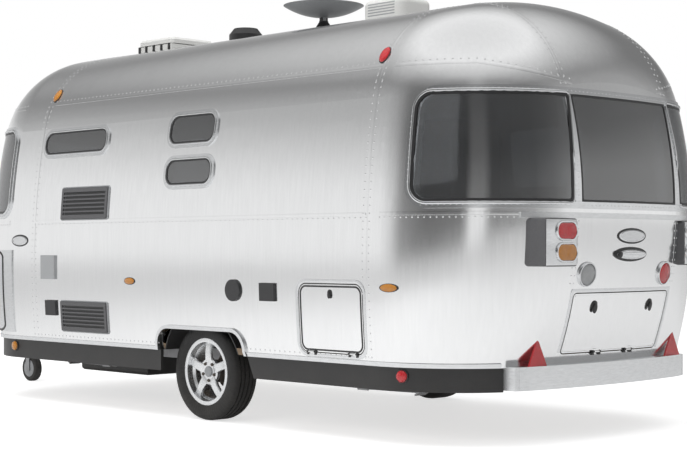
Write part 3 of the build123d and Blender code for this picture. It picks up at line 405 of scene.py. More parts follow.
def block(low, high, edge=0.002, segments=2):
    """A block between two corners with rounded edges, left active."""
    bpy.ops.object.select_all(action="DESELECT")
    middle = [(a + b) / 2 for a, b in zip(low, high)]
    size = [abs(b - a) for a, b in zip(low, high)]
    bpy.ops.mesh.primitive_cube_add(size=1, location=middle)
    bpy.context.object.scale = size
    bpy.ops.object.transform_apply(location=True, rotation=False, scale=True)
    rounded_edges(edge, segments)
    return bpy.context.object


def turned(spot, outward, steps, sides=40, squeeze=(1, 1), upright=None):
    """A round fitting grown out of a face by (radius, rise) steps, left active."""
    bpy.ops.object.select_all(action="DESELECT")
    bpy.ops.mesh.primitive_circle_add(vertices=sides, radius=steps[0][0], fill_type="NGON")
    bpy.ops.object.mode_set(mode="EDIT")
    bpy.ops.mesh.select_all(action="SELECT")
    for (radius, rise), (next_radius, next_rise) in zip(steps, steps[1:]):
        bpy.ops.mesh.extrude_region_move(TRANSFORM_OT_translate={"value": (0, 0, next_rise - rise)})
        share = next_radius / radius
        bpy.ops.transform.resize(value=(share, share, 1))
    bpy.ops.mesh.select_all(action="SELECT")
    bpy.ops.mesh.normals_make_consistent(inside=False)
    bpy.ops.object.mode_set(mode="OBJECT")
    piece = bpy.context.object
    piece.scale = (squeeze[0], squeeze[1], 1)
    bpy.ops.object.transform_apply(location=False, rotation=False, scale=True)
    up = Vector(upright or (0, 0, 1))
    out = Vector(outward).normalized()
    along = up.cross(out)
    if along.length < 0.01:
        along = Vector((1, 0, 0))
    along.normalize()
    rise_axis = out.cross(along)
    turn = Matrix((along, rise_axis, out)).transposed().to_4x4()
    piece.matrix_world = Matrix.Translation(Vector(spot)) @ turn
    bpy.ops.object.transform_apply(location=True, rotation=True, scale=True)
    return piece


def joined(pieces):
    bpy.ops.object.select_all(action="DESELECT")
    for piece in pieces:
        piece.select_set(True)
    bpy.context.view_layer.objects.active = pieces[0]
    bpy.ops.object.join()
    return bpy.context.object


def tree_of(names):
    """What rays are cast on: the faces of some CAD nodes."""
    shell = bmesh.new()
    for name in names:
        shell.from_mesh(nodes[name].data)
    tree = BVHTree.FromBMesh(shell)
    shell.free()
    return tree


def strike(tree, ray):
    """Where a ray meets the near face. It never goes on through a door's opening to the far wall."""
    start, aim = ray
    spot, out, _, _ = tree.ray_cast(Vector(start), Vector(aim).normalized(), RAY_REACH)
    return None if spot is None else (spot, out)


def along(points, steps):
    """Places at even steps along a path of pairs."""
    for (a0, b0), (a1, b1) in zip(points, points[1:]):
        for step in range(steps):
            share = step / steps
            yield a0 + share * (a1 - a0), b0 + share * (b1 - b0)


def from_side(side, points, steps=60):
    """Rays at a side wall along a path of (x, z) points."""
    return [((x, side * 3, z), (0, -side, 0)) for x, z in along(points, steps)]


def from_end(forward, points, steps=40):
    """Rays at an end wall along a path of (y, z) points."""
    return [((forward * 6, y, z), (-forward, 0, 0)) for y, z in along(points, steps)]


def turn_of(forward):
    return FRONT_TURN if forward > 0 else REAR_TURN


def round_end(forward, points, steps=60):
    """Rays at a wrapped end along a path of (degrees from straight out, z) points."""
    rays = []
    for degrees, z in along(points, steps):
        angle = math.radians(degrees)
        aim = (-forward * math.cos(angle), -math.sin(angle), 0)
        rays.append(((turn_of(forward) - 3 * aim[0], -3 * aim[1], z), aim))
    return rays


def up_dome(forward, y, high, steps=120):
    """Rays at a dome along a line of one distance from the middle, by degrees of climb."""
    rays = []
    for step in range(steps + 1):
        angle = math.radians(DOME_FOOT + step / steps * (high - DOME_FOOT))
        start = (turn_of(forward) + forward * 3 * math.cos(angle), y, 1.75 + 3 * math.sin(angle))
        rays.append((start, (-forward * math.cos(angle), 0, -math.sin(angle))))
    return rays


def over_roof(x, low, high, steps=160):
    """Rays down on the roof across it, from one angle to another."""
    rays = []
    for step in range(steps + 1):
        angle = math.radians(low + step / steps * (high - low))
        start = (x, 4 * math.cos(angle), 1.2 + 4 * math.sin(angle))
        rays.append((start, (0, -math.cos(angle), -math.sin(angle))))
    return rays


def rounded_path(x0, z0, x1, z1, corner_x, corner_z, corner_x2=None):
    """A closed rounded rectangle as (x, z) points; its second end may have smaller corners."""
    second = corner_x if corner_x2 is None else corner_x2
    share = second / corner_x
    corners = (
        (x1 - second, z1 - corner_z * share, second, 0),
        (x0 + corner_x, z1 - corner_z, corner_x, 90),
        (x0 + corner_x, z0 + corner_z, corner_x, 180),
        (x1 - second, z0 + corner_z * share, second, 270),
    )
    points = []
    for middle_x, middle_z, reach, first in corners:
        rise = corner_z * reach / corner_x
        for step in range(9):
            angle = math.radians(first + 90 * step / 8)
            points.append((middle_x + reach * math.cos(angle), middle_z + rise * math.sin(angle)))
    points.append(points[0])
    return points


def strikes(tree, rays):
    found = [strike(tree, ray) for ray in rays]
    return [hit for hit in found if hit]


def spaced(hits, pitch):
    """Every place along a path that is a pitch from the last one."""
    kept = hits[:1]
    run = 0
    for last, here in zip(hits, hits[1:]):
        run += (here[0] - last[0]).length
        if run >= pitch:
            kept.append(here)
            run = 0
    return kept


def unbroken(hits, gap):
    """The runs of a path, parted where it jumps over an opening."""
    runs = [hits[:1]]
    for last, here in zip(hits, hits[1:]):
        if (here[0] - last[0]).length > gap:
            runs.append([])
        runs[-1].append(here)
    return runs


def strip(name, hits, half, rise, slot, body=BODY, closed=False):
    """A strip of sheet or rubber that lies along struck places."""
    section = (
        (-half, -0.0015), (-half, rise * 0.7), (-half * 0.6, rise),
        (half * 0.6, rise), (half, rise * 0.7), (half, -0.0015),
    )
    kept = [hits[0]]
    for hit in hits[1:]:
        if (hit[0] - kept[-1][0]).length > 0.004:
            kept.append(hit)
    if closed and (kept[0][0] - kept[-1][0]).length < 0.004:
        kept.pop()
    count = len(kept)
    mesh = bmesh.new()
    rings = []
    for index, (spot, out) in enumerate(kept):
        before = kept[index - 1][0] if closed or index else spot
        after = kept[(index + 1) % count][0] if closed or index < count - 1 else spot
        across = (after - before).cross(out).normalized()
        rings.append([mesh.verts.new(spot + across * side + out * lift) for side, lift in section])
    pairs = list(zip(rings, rings[1:]))
    if closed:
        pairs.append((rings[-1], rings[0]))
    size = len(section)
    for first, second in pairs:
        for point in range(size):
            following = (point + 1) % size
            mesh.faces.new((first[point], first[following], second[following], second[point]))
    if not closed:
        mesh.faces.new(rings[0])
        mesh.faces.new(list(reversed(rings[-1])))
    bmesh.ops.recalc_face_normals(mesh, faces=mesh.faces)
    data = bpy.data.meshes.new(name)
    mesh.to_mesh(data)
    mesh.free()
    activated(name, data)
    return done(name, slot, body, 50)


def set_out(name, master, hits, slot, body=BODY):
    """One piece of many copies of a small master, each standing on its place."""
    mesh = bmesh.new()
    for spot, out in hits:
        copy = master.data.copy()
        copy.transform(Matrix.Translation(spot) @ out.to_track_quat("Z", "Y").to_matrix().to_4x4())
        mesh.from_mesh(copy)
        bpy.data.meshes.remove(copy)
    data = bpy.data.meshes.new(name)
    mesh.to_mesh(data)
    mesh.free()
    activated(name, data)
    return done(name, slot, body, 60)


skins = tree_of(
    (
        "side_wall_left", "side_wall_right", "roof_shell", "rear_upper_shell", "rear_lower_shell",
        "front_upper_shell", "front_lower_shell",
    )
)
frames = tree_of(("window_frames",))
bead_faces = tree_of(
    ("window_frames", "side_wall_left", "side_wall_right", "rear_upper_shell", "front_upper_shell"),
)
glazing = tree_of(("window_panes", "window_frames", "entrance_door_pane"))
door_skins = tree_of(("rear_locker_door", "front_locker_door", "service_door", "entrance_door"))
skirt_faces = tree_of(("skirts",))

# Lap strips over the panel joints
lap = 0.011
lap_rise = 0.0012
for side, side_name in SIDES:
    for seam, seam_name in ((REAR_SEAM, "rear"), (FRONT_SEAM, "front")):
        hits = strikes(skins, from_side(side, ((seam, 0.456), (seam, EAVE))))
        strip(seam_name + "_lap_" + side_name, hits, lap, lap_rise, "skin")
    hits = strikes(skins, from_side(side, ((REAR_SEAM, BELT), (FRONT_SEAM, BELT)), 400))
    for number, run in enumerate(unbroken(hits, 0.1)):
        name = "belt_lap_" + side_name + ("" if number == 0 else "_ahead")
        strip(name, run, lap, lap_rise, "skin")
    hits = strikes(skins, from_side(side, ((REAR_SEAM, EAVE), (FRONT_SEAM, EAVE))))
    strip("eave_lap_" + side_name, hits, lap, lap_rise, "skin")
for seam, seam_name in ((REAR_SEAM, "rear"), (FRONT_SEAM, "front")):
    strip(seam_name + "_roof_lap", strikes(skins, over_roof(seam, 35, 145)), lap, lap_rise, "skin")


def dome_height(angle):
    """Height of the joint between a dome and the window panels at degrees from straight out."""
    if angle > 62:
        return 2.092
    if angle > 28:
        return 1.992 + (angle - 28) / 34 * 0.10
    return 1.992


for forward, end_name in ENDS:
    for side, side_name in SIDES:
        points = [(side * angle, dome_height(angle)) for angle in range(88, LOW_END[end_name] - 1, -2)]
        hits = strikes(skins, round_end(forward, points, 3))
        strip(end_name + "_dome_lap_" + side_name, hits, lap, lap_rise, "skin")
        hits = strikes(skins, round_end(forward, ((side * 88, BELT), (side * 46, BELT)), 80))
        strip(end_name + "_belt_lap_" + side_name, hits, lap, lap_rise, "skin")
        hits = strikes(skins, from_end(forward, ((side * 0.475, 1.235), (side * 0.475, 0.86)), 40))
        strip(end_name + "_centre_lap_" + side_name, hits, 0.008, lap_rise, "skin")


for forward, end_name in ENDS:
    for side, side_name in SIDES:
        hits = strikes(skins, up_dome(forward, side * 0.475, DOME_TOP[end_name]))
        strip(end_name + "_gore_lap_" + side_name, hits, lap, lap_rise, "skin")

# Rivets: one round head, set out along every joint
bpy.ops.mesh.primitive_cylinder_add(vertices=8, radius=0.0054, depth=0.001, location=(0, 0, 0.0002))
rivet = bpy.context.object
bpy.ops.object.mode_set(mode="EDIT")
bpy.ops.mesh.select_all(action="DESELECT")
bpy.ops.object.mode_set(mode="OBJECT")
for face in rivet.data.polygons:
    face.select = face.normal.z > 0.9
bpy.ops.object.mode_set(mode="EDIT")
bpy.ops.mesh.extrude_region_move(TRANSFORM_OT_translate={"value": (0, 0, 0.0016)})
bpy.ops.transform.resize(value=(0.62, 0.62, 1))
bpy.ops.object.mode_set(mode="OBJECT")
bpy.ops.object.transform_apply(location=True, rotation=False, scale=False)

rows = {}
pitch = 0.042
for side, side_name in SIDES:
    rows["side_rivets_" + side_name] = []
    for seam in (REAR_SEAM, FRONT_SEAM):
        for shift in (-0.024, 0.024):
            hits = strikes(skins, from_side(side, ((seam + shift, 0.475), (seam + shift, 2.08)), 400))
            rows["side_rivets_" + side_name] += spaced(hits, pitch)
    for height in (BELT - 0.020, EAVE + 0.022, 0.475):
        hits = strikes(skins, from_side(side, ((REAR_SEAM, height), (FRONT_SEAM, height)), 1600))
        rows["side_rivets_" + side_name] += spaced(hits, pitch)
rows["roof_rivets"] = []
for seam in (REAR_SEAM, FRONT_SEAM):
    for shift in (-0.024, 0.024):
        rows["roof_rivets"] += spaced(strikes(skins, over_roof(seam + shift, 36, 144, 900)), pitch)
for forward, end_name in ENDS:
    row = []
    for side in (1, -1):
        angles = range(88, LOW_END[end_name] - 1, -2)
        points = [(side * angle, dome_height(angle) + 0.020) for angle in angles]
        row += spaced(strikes(skins, round_end(forward, points, 14)), pitch)
        hits = strikes(skins, round_end(forward, ((side * 88, BELT - 0.020), (side * 46, BELT - 0.020)), 500))
        row += spaced(hits, 0.034)
        for y in (0.462, 0.488):
            hits = strikes(skins, from_end(forward, ((side * y, 1.225), (side * y, 0.87)), 200))
            row += spaced(hits, pitch)
    rows[end_name + "_rivets"] = row
for forward, end_name in ENDS:
    for y in (-0.495, -0.455, 0.455, 0.495):
        hits = strikes(skins, up_dome(forward, y, DOME_TOP[end_name], 900))
        rows[end_name + "_rivets"] += spaced(hits, pitch)
for name, hits in rows.items():
    set_out(name, rivet, hits, "skin")

# Window frames: a black gasket along every pane, a bright bead and rivets round it
# Each side window in mm: its middle ahead of the axle and above the floor, length, height and corner
SIDE_WINDOWS = {
    "left": ((1344, 1812, 720, 150, 60), (70, 1832, 440, 176, 62), (66, 1560, 440, 156, 62)),
    "right": ((-950, 1700, 660, 420, 70), (1480, 1740, 400, 330, 70), (815, 1660, 330, 440, 60)),
}
frame_row = []
for side_name, windows in SIDE_WINDOWS.items():
    side = 1 if side_name == "left" else -1
    for number, (middle, height, length, tall, corner) in enumerate(windows):
        x0 = AXLE + (middle - length / 2) / 1000
        x1 = AXLE + (middle + length / 2) / 1000
        z0 = (height - tall / 2) / 1000
        z1 = (height + tall / 2) / 1000
        turn = corner / 1000
        rides = "entrance_door" if side_name == "right" and number == 2 else BODY
        path = rounded_path(x0 + 0.004, z0 + 0.004, x1 - 0.004, z1 - 0.004, turn, turn)
        hits = strikes(glazing, from_side(side, path, 6))
        strip("gasket_%s_%d" % (side_name, number + 1), hits, 0.007, 0.003, "black_plastic", rides, True)
        path = rounded_path(x0 - 0.006, z0 - 0.006, x1 + 0.006, z1 + 0.006, turn + 0.006, turn + 0.006)
        hits = strikes(bead_faces if rides == BODY else door_skins, from_side(side, path, 6))
        strip("frame_bead_%s_%d" % (side_name, number + 1), hits, 0.005, 0.004, "bright_trim", rides, True)
        if rides == BODY:
            path = rounded_path(x0 - 0.016, z0 - 0.016, x1 + 0.016, z1 + 0.016, turn + 0.016, turn + 0.016)
            frame_row += spaced(strikes(frames, from_side(side, path, 20)), 0.034)

small_rivet = rivet.copy()
small_rivet.data = rivet.data.copy()
small_rivet.data.transform(Matrix.Diagonal((0.7, 0.7, 0.7, 1)))
for forward, end_name in ENDS:
    pane_edge = AXLE + (-1.83 if forward < 0 else 2.11)
    widest = math.degrees(math.atan2(1.18, abs(pane_edge - turn_of(forward))))
    narrow = math.degrees(math.atan2(0.500, 0.815))
    for side, side_name in SIDES:
        path = rounded_path(widest - 0.2, PANE_LOW, narrow + 0.3, PANE_HIGH, -4.4, 0.090, -1.3)
        path = [(side * angle, height) for angle, height in path]
        hits = strikes(glazing, round_end(forward, path, 12))
        strip("gasket_%s_%s" % (end_name, side_name), hits, 0.009, 0.0035, "black_plastic", BODY, True)
        path = rounded_path(widest + 0.45, 1.322, narrow - 0.4, 1.936, -5.0, 0.102, -1.6)
        path = [(side * angle, height) for angle, height in path]
        hits = strikes(bead_faces, round_end(forward, path, 24))
        strip("frame_bead_%s_%s" % (end_name, side_name), hits, 0.0075, 0.008, "bright_trim", BODY, True)
        for height in (FRAME_HIGH, FRAME_LOW):
            edge = [(side * angle, height) for angle in (widest - 3, 31)]
            frame_row += spaced(strikes(frames, round_end(forward, edge, 500)), 0.032)
        hits = strikes(frames, from_end(forward, ((side * 0.471, 1.30), (side * 0.471, 1.95)), 300))
        frame_row += spaced(hits, 0.032)
        beside = side * (widest + 0.95)
        hits = strikes(frames, round_end(forward, ((beside, 1.44), (beside, 1.82)), 300))
        frame_row += spaced(hits, 0.032)
    path = rounded_path(-0.441, PANE_LOW, 0.441, PANE_HIGH, 0.02, 0.02)
    hits = strikes(glazing, from_end(forward, path, 20))
    strip("gasket_%s_middle" % end_name, hits, 0.007, 0.0035, "black_plastic", BODY, True)
    for height in (FRAME_LOW, FRAME_HIGH):
        frame_row += spaced(strikes(frames, from_end(forward, ((-0.44, height), (0.44, height)), 300)), 0.032)
set_out("frame_rivets", small_rivet, frame_row, "bright_trim")
bpy.data.objects.remove(small_rivet)
bpy.data.objects.remove(rivet)


# Bright frames and seals of the lower doors
def door_outline(low, high, low_z, high_z, corner, grow):
    return rounded_path(low - grow, low_z - grow, high + grow, high_z + grow, corner + grow, corner + grow)


service_sides = (AXLE - 1.5005, AXLE - 0.9855, 0.487, 0.874, 0.055)
hits = strikes(skins, from_side(1, door_outline(*service_sides, 0.020), 10))
strip("service_frame", hits, 0.009, 0.003, "bright_trim", BODY, True)
hits = strikes(door_skins, from_side(1, door_outline(*service_sides, -0.012), 10))
strip("service_seal", hits, 0.005, 0.002, "black_plastic", "service_door", True)
lockers = {"rear": (0.443, 0.497, 0.828), "front": (0.450, 0.540, 0.900)}
for forward, end_name in ENDS:
    half_len, low_z, high_z = lockers[end_name]
    frame_half = half_len + 0.018
    frame_top = high_z + 0.018
    upper = ((-frame_half, low_z), (-frame_half, frame_top), (frame_half, frame_top), (frame_half, low_z))
    hits = strikes(skins, from_end(forward, upper, 60))
    strip(end_name + "_locker_frame", hits, 0.009, 0.004, "bright_trim")
    inner = door_outline(-half_len, half_len, low_z, high_z, 0.020, -0.012)
    hits = strikes(door_skins, from_end(forward, inner, 20))
    strip(end_name + "_locker_edge", hits, 0.004, 0.002, "skin", end_name + "_locker_door", True)


# Locks: a round body with a turned lever plate on it
def lock(name, tree, ray, body, size=0.020):
    spot, out = strike(tree, ray)
    steps = ((size, 0), (size, 0.004), (size * 0.85, 0.007), (size * 0.4, 0.008))
    base = turned(spot - out * 0.001, out, steps, 24)
    lever = turned(
        spot + out * 0.005 + Vector((0, 0, -size * 0.8)), out,
        ((size * 0.8, 0), (size * 0.8, 0.004), (size * 0.6, 0.006)), 20, (0.9, 1.5),
    )
    joined([base, lever])
    return done(name, "black_plastic", body)


lock("service_lock", door_skins, ((AXLE - 1.243, 3, 0.828), (0, -1, 0)), "service_door", 0.017)
for y in (-0.263, 0.263):
    side_name = "left" if y > 0 else "right"
    lock("rear_lock_" + side_name, door_skins, ((-6, y, 0.765), (1, 0, 0)), "rear_locker_door", 0.024)
    lock("front_lock_" + side_name, door_skins, ((6, y, 0.600), (-1, 0, 0)), "front_locker_door", 0.022)

# Bright grab bar with its lock, and plain oval plates
oval_rim = ((0.034, 0), (0.034, 0.0045), (0.032, 0.0055))
oval_face = ((0.03, 0), (0.03, 0.007), (0.026, 0.010), (0.025, 0.008))
spot, out = strike(skins, ((-6, 0, 1.045), (1, 0, 0)))
turned(spot - out * 0.002, out, ((0.036, 0), (0.036, 0.005), (0.034, 0.007)), 48, (4.25, 1.15))
done("rear_handle_recess", "black_plastic")
plate = turned(spot - out * 0.002, out, ((0.032, 0), (0.032, 0.014), (0.026, 0.020)), 40, (4.3, 0.85))
recess = turned(spot + out * 0.017, out, ((0.022, 0), (0.022, 0.004), (0.018, 0.006)), 40, (4.9, 0.7))
joined([plate, recess])
done("rear_handle", "bright_trim")
turned(spot + out * 0.017 + Vector((0, 0.118, 0)), out, ((0.017, 0), (0.017, 0.005), (0.011, 0.007)), 28)
done("rear_handle_lock", "black_plastic")
spot, out = strike(skins, ((-6, 0, 1.148), (1, 0, 0)))
turned(spot - out * 0.003, out, oval_rim, 48, (3.95, 1.32))
done("rear_oval_rim", "black_plastic")
turned(spot - out * 0.003, out, oval_face, 48, (4.1, 1.15))
done("rear_oval_plate", "bright_trim")
for side, side_name in SIDES:
    spot, out = strike(skins, ((AXLE + 1.95, side * 3, 1.135), (0, -side, 0)))
    turned(spot - out * 0.003, out, oval_rim, 48, (3.12, 1.25))
    done("side_oval_rim_" + side_name, "black_plastic")
    turned(spot - out * 0.003, out, oval_face, 48, (3.2, 1.1))
    done("side_oval_plate_" + side_name, "bright_trim")

# Marker lamps: black base and crowned lens
markers = (
    ("side_marker", 0.645, 0.866, "amber_lens", 0.054, 0.022),
    ("corner_marker", -1.70, 0.862, "amber_lens", 0.058, 0.022),
    ("clearance_lamp", -1.505, 2.165, "red_lens", 0.034, 0.052),
    ("front_clearance_lamp", 1.745, 2.165, "amber_lens", 0.034, 0.052),
)
crown = ((1, 0), (1, 0.005), (0.94, 0.010), (0.78, 0.014), (0.5, 0.0165), (0.2, 0.0172))
for name, ahead, height, slot, half_len, half_tall in markers:
    for side, side_name in SIDES:
        clear_of_door = 0.26 if name == "side_marker" and side < 0 else 0
        spot, out = strike(skins, ((AXLE + ahead - clear_of_door, side * 3, height), (0, -side, 0)))
        thin = 0.62 if abs(out.y) > 0.99 and half_len > 0.04 else 1
        shape = (half_len, half_tall)
        turned(spot - out * 0.006, out, ((1.1, 0), (1.1, 0.008), (1.03, 0.010)), 40, shape)
        done(name + "_base_" + side_name, "black_plastic")
        turned(spot - out * 0.001, out, [(r, z * thin) for r, z in crown], 40, shape)
        done(name + "_lens_" + side_name, slot)
for name, ahead, slot in (("rear_skirt_lamp", -1.75, "red_lens"), ("front_skirt_lamp", 2.07, "amber_lens")):
    for side, side_name in SIDES:
        spot, out = strike(skirt_faces, ((AXLE + ahead, side * 3, 0.381), (0, -side, 0)))
        turned(spot - out * 0.002, out, ((0.040, 0), (0.040, 0.006), (0.036, 0.009)), 40)
        done(name + "_rim_" + side_name, "black_plastic")
        turned(spot + out * 0.004, out, [(r * 0.033, z) for r, z in crown], 40)
        done(name + "_lens_" + side_name, slot)

# Rear clusters: bright face, bezels and optics; round lamps: rim and lens
housings = tree_of(("lamp_housings",))
for side, side_name in SIDES:
    for height, lens_name in ((1.172, "stop"), (1.056, "turn")):
        middle = side * 0.61
        path = rounded_path(middle - 0.087, height - 0.049, middle + 0.087, height + 0.049, 0.0485, 0.0485)
        hits = strikes(housings, from_end(-1, path, 8))
        strip("%s_bezel_%s" % (lens_name, side_name), hits, 0.0055, 0.0125, "bright_trim", BODY, True)
    spot, out = strike(skins, ((-6, side * 0.367, 0.935), (1, 0, 0)))
    ring = []
    for step in range(49):
        angle = math.radians(7.5 * step)
        ring.append((side * 0.367 + 0.064 * math.cos(angle), 0.935 + 0.064 * math.sin(angle)))
    hits = strikes(skins, from_end(-1, ring, 3))
    strip("round_lamp_rim_" + side_name, hits, 0.005, 0.014, "bright_trim", BODY, True)
    turned(spot, out, [(r * 0.060, z) for r, z in crown], 48)
    done("round_lamp_lens_" + side_name, "clear_lens" if side > 0 else "red_lens")
    low_y, high_y = sorted((side * 0.518, side * 0.784))
    block((AXLE - 2.4485, low_y, 0.986), (AXLE - 2.4455, high_y, 1.234), 0.0012)
    done("lamp_face_" + side_name, "bright_trim")
    for height, lens_name, lens_slot in ((1.172, "stop", "red_lens"), (1.056, "turn", "amber_lens")):
        for shift in (-0.034, 0.034):
            spot = (AXLE - 2.4553, side * 0.61 + shift, height)
            turned(spot, (-1, 0, 0), ((0.030, 0), (0.030, 0.0010), (0.024, 0.0022), (0.008, 0.0026)), 32)
            place = "out" if shift * side > 0 else "in"
            done("%s_optic_%s_%s" % (lens_name, side_name, place), lens_slot)

# Hatches: a lip on each; vents: an edge, and a black strip of painted shade in each slot
fittings = tree_of(("side_hatches", "side_vents"))
for number, (low, high, low_z, high_z) in enumerate(
    ((1.500, 1.665, 0.866, 1.032), (1.498, 1.622, 0.615, 0.720), (-0.780, -0.650, 0.767, 0.874))
):
    inset = 0.012
    path = rounded_path(
        AXLE + low + inset, low_z + inset, AXLE + high - inset, high_z - inset, inset, inset,
    )
    hits = [(spot - out * 0.0012, out) for spot, out in strikes(fittings, from_side(1, path, 6))]
    strip("hatch_lip_%d" % (number + 1), hits, 0.003, 0.0009, "black_plastic", BODY, True)
vents = ((0.903, 1.433, 1.280, 1.490, "upper"), (0.905, 1.435, 0.517, 0.715, "lower"))
for low, high, low_z, high_z, name in vents:
    path = rounded_path(
        AXLE + low - 0.005, low_z - 0.005, AXLE + high + 0.005, high_z + 0.005, 0.012, 0.012,
    )
    strip("vent_edge_" + name, strikes(skins, from_side(1, path, 12)), 0.005, 0.006, "grey_paint", BODY, True)
    slat = (high_z - low_z - 0.044) / 6
    for row in range(6):
        slot_z = low_z + 0.022 + (row + 0.5) * slat
        ends = ((AXLE + low + 0.024, slot_z), (AXLE + high - 0.024, slot_z))
        hits = strikes(fittings, from_side(1, ends, 30))
        # A black strip of painted shade where the opening between two slats falls dark
        strip("vent_slot_shade_%s_%d" % (name, row + 1), hits, slat * 0.28, 0.0008, "black_plastic")

# Stone guard edging
for side, side_name in SIDES:
    path = rounded_path(84, 0.488, 40, 1.060, -6, 0.05)
    hits = strikes(skins, round_end(1, [(side * angle, height) for angle, height in path], 10))
    strip("guard_edge_" + side_name, hits, 0.009, 0.012, "black_plastic", BODY, True)

# Wheels: tyres with grooves, spoked rims with bolts and caps


def spun(points, steps=96):
    """A closed profile of (across, radius) points turned about the axle, left active."""
    data = bpy.data.meshes.new("profile")
    count = len(points)
    edges = [(index, (index + 1) % count) for index in range(count)]
    data.from_pydata([(0, across, radius) for across, radius in points], edges, [])
    piece = activated("profile", data)
    screw = piece.modifiers.new("turn", "SCREW")
    screw.axis = "Y"
    screw.steps = steps
    screw.render_steps = steps
    screw.use_merge_vertices = True
    bpy.ops.object.modifier_apply(modifier=screw.name)
    bpy.ops.object.mode_set(mode="EDIT")
    bpy.ops.mesh.select_all(action="SELECT")
    bpy.ops.mesh.remove_doubles(threshold=0.00001)
    bpy.ops.mesh.normals_make_consistent(inside=False)
    bpy.ops.object.mode_set(mode="OBJECT")
    return piece


def tyre_profile():
    """Outside of a tyre with four grooves, and its inside, round to the beads."""
    half = 0.0975
    wall = [
        (0.073, 0.192), (0.083, 0.212), (0.094, 0.232), (half, 0.255),
        (0.0965, 0.272), (0.090, 0.290), (0.082, 0.298), (0.066, 0.3035),
    ]
    outside = [(-across, radius) for across, radius in wall]
    for groove in (-0.048, -0.017, 0.017, 0.048):
        outside += [(groove - 0.005, 0.305), (groove - 0.0035, 0.298)]
        outside += [(groove + 0.0035, 0.298), (groove + 0.005, 0.305)]
    outside += reversed(wall)
    inside = [(0.058, 0.192), (0.082, 0.250), (0.066, 0.284)]
    return outside + inside + [(-across, radius) for across, radius in reversed(inside)]


def rim_profile():
    """Barrel of a rim with its two flanges and drop centre."""
    return [
        (-0.0835, 0.183), (-0.0835, 0.208), (-0.077, 0.208), (-0.075, 0.1915), (-0.045, 0.190),
        (-0.030, 0.176), (0.020, 0.176), (0.035, 0.190), (0.075, 0.1915), (0.077, 0.208), (0.082, 0.210),
        (0.0835, 0.206),
        (0.080, 0.186), (0.040, 0.183), (0.025, 0.170), (-0.035, 0.170), (-0.050, 0.183),
    ]


def placed(piece, side):
    """Turns a wheel part modelled about the origin to its side and sets it on the axle."""
    if side < 0:
        piece.data.transform(Matrix.Rotation(math.pi, 4, "Z"))
    piece.data.transform(Matrix.Translation((AXLE, side * WHEEL_Y, AXLE_Z)))


def spokes_disc():
    """Five spokes with a hub, bevelled all round, about the origin and facing +Y."""
    bpy.ops.object.select_all(action="DESELECT")
    bpy.ops.mesh.primitive_cube_add(size=1, location=(0, 0.048, 0.115))
    spoke = bpy.context.object
    spoke.scale = (0.058, 0.024, 0.146)
    bpy.ops.object.transform_apply(location=True, rotation=False, scale=True)
    bpy.ops.object.mode_set(mode="EDIT")
    bpy.ops.mesh.select_all(action="SELECT")
    bpy.ops.mesh.subdivide(number_cuts=3)
    bpy.ops.object.mode_set(mode="OBJECT")
    for point in spoke.data.vertices:
        share = (point.co.z - 0.042) / 0.146
        point.co.x *= 1.28 - 1.30 * share + 1.05 * share**2
        point.co.y += 0.012 * math.sin(math.pi * min(share, 1)) - 0.004
    rounded_edges(0.006, 3)
    arms = [spoke]
    for turn in range(1, 5):
        arm = spoke.copy()
        arm.data = spoke.data.copy()
        arm.data.transform(Matrix.Rotation(math.radians(72 * turn), 4, "Y"))
        bpy.context.collection.objects.link(arm)
        arms.append(arm)
    hub = turned((0, 0.034, 0), (0, 1, 0), ((0.084, 0), (0.084, 0.020), (0.078, 0.026), (0.062, 0.024)), 60)
    return joined(arms + [hub])


for side, side_name in SIDES:
    body = "wheel_" + side_name
    tyre = spun(tyre_profile())
    placed(tyre, side)
    done("road_tyre_" + side_name, "tyre", body, 32)
    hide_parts("tyre_" + side_name)
    barrel = spun(rim_profile())
    disc = spokes_disc()
    rim = joined([barrel, disc])
    placed(rim, side)
    done("spoked_rim_" + side_name, "alloy", body, 32)
    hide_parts("rim_" + side_name)
    bolts = []
    for turn in range(5):
        angle = math.radians(72 * turn + 36)
        spot = (0.056 * math.sin(angle), 0.055, 0.056 * math.cos(angle))
        steps = ((0.011, 0), (0.011, 0.004), (0.009, 0.010), (0.006, 0.0115))
        bolts.append(turned(spot, (0, 1, 0), steps, 6))
    bolt_set = joined(bolts)
    placed(bolt_set, side)
    done("wheel_bolts_" + side_name, "drum_iron", body)
    cap = turned((0, 0.054, 0), (0, 1, 0), ((0.034, 0), (0.034, 0.008), (0.030, 0.013), (0.015, 0.0155)), 40)
    placed(cap, side)
    done("wheel_cap_" + side_name, "grey_paint", body)

# Roof: ribs and catches of the rooflight, slots of the roof unit
roof_parts = tree_of(("rooflight_lid",))
x_mid = AXLE + 1.5
for number, shift in enumerate((-0.12, -0.04, 0.04, 0.12)):
    rays = [((x_mid + shift, 0.165 + y / 100, 4), (0, 0, -1)) for y in range(-17, 18)]
    hits = [(spot - out * 0.0005, out) for spot, out in strikes(roof_parts, rays)]
    strip("rooflight_rib_%d" % (number + 1), hits, 0.009, 0.004, "white_plastic", "rooflight_lid")
for number, shift in enumerate((-0.17, -0.08, 0.01, 0.10, 0.18)):
    block((x_mid + shift - 0.012, 0.353, 2.520), (x_mid + shift + 0.012, 0.372, 2.566), 0.004)
    done("rooflight_catch_%d" % (number + 1), "black_plastic")
unit = tree_of(("roof_unit",))
for number in range(5):
    height = 2.585 + number * 0.018
    rays = [((AXLE - 0.605 + x / 100, 3, height), (0, -1, 0)) for x in range(-12, 13)]
    hits = [(spot - out * 0.001, out) for spot, out in strikes(unit, rays)]
    strip("roof_unit_slot_%d" % (number + 1), hits, 0.004, 0.0016, "grey_paint")

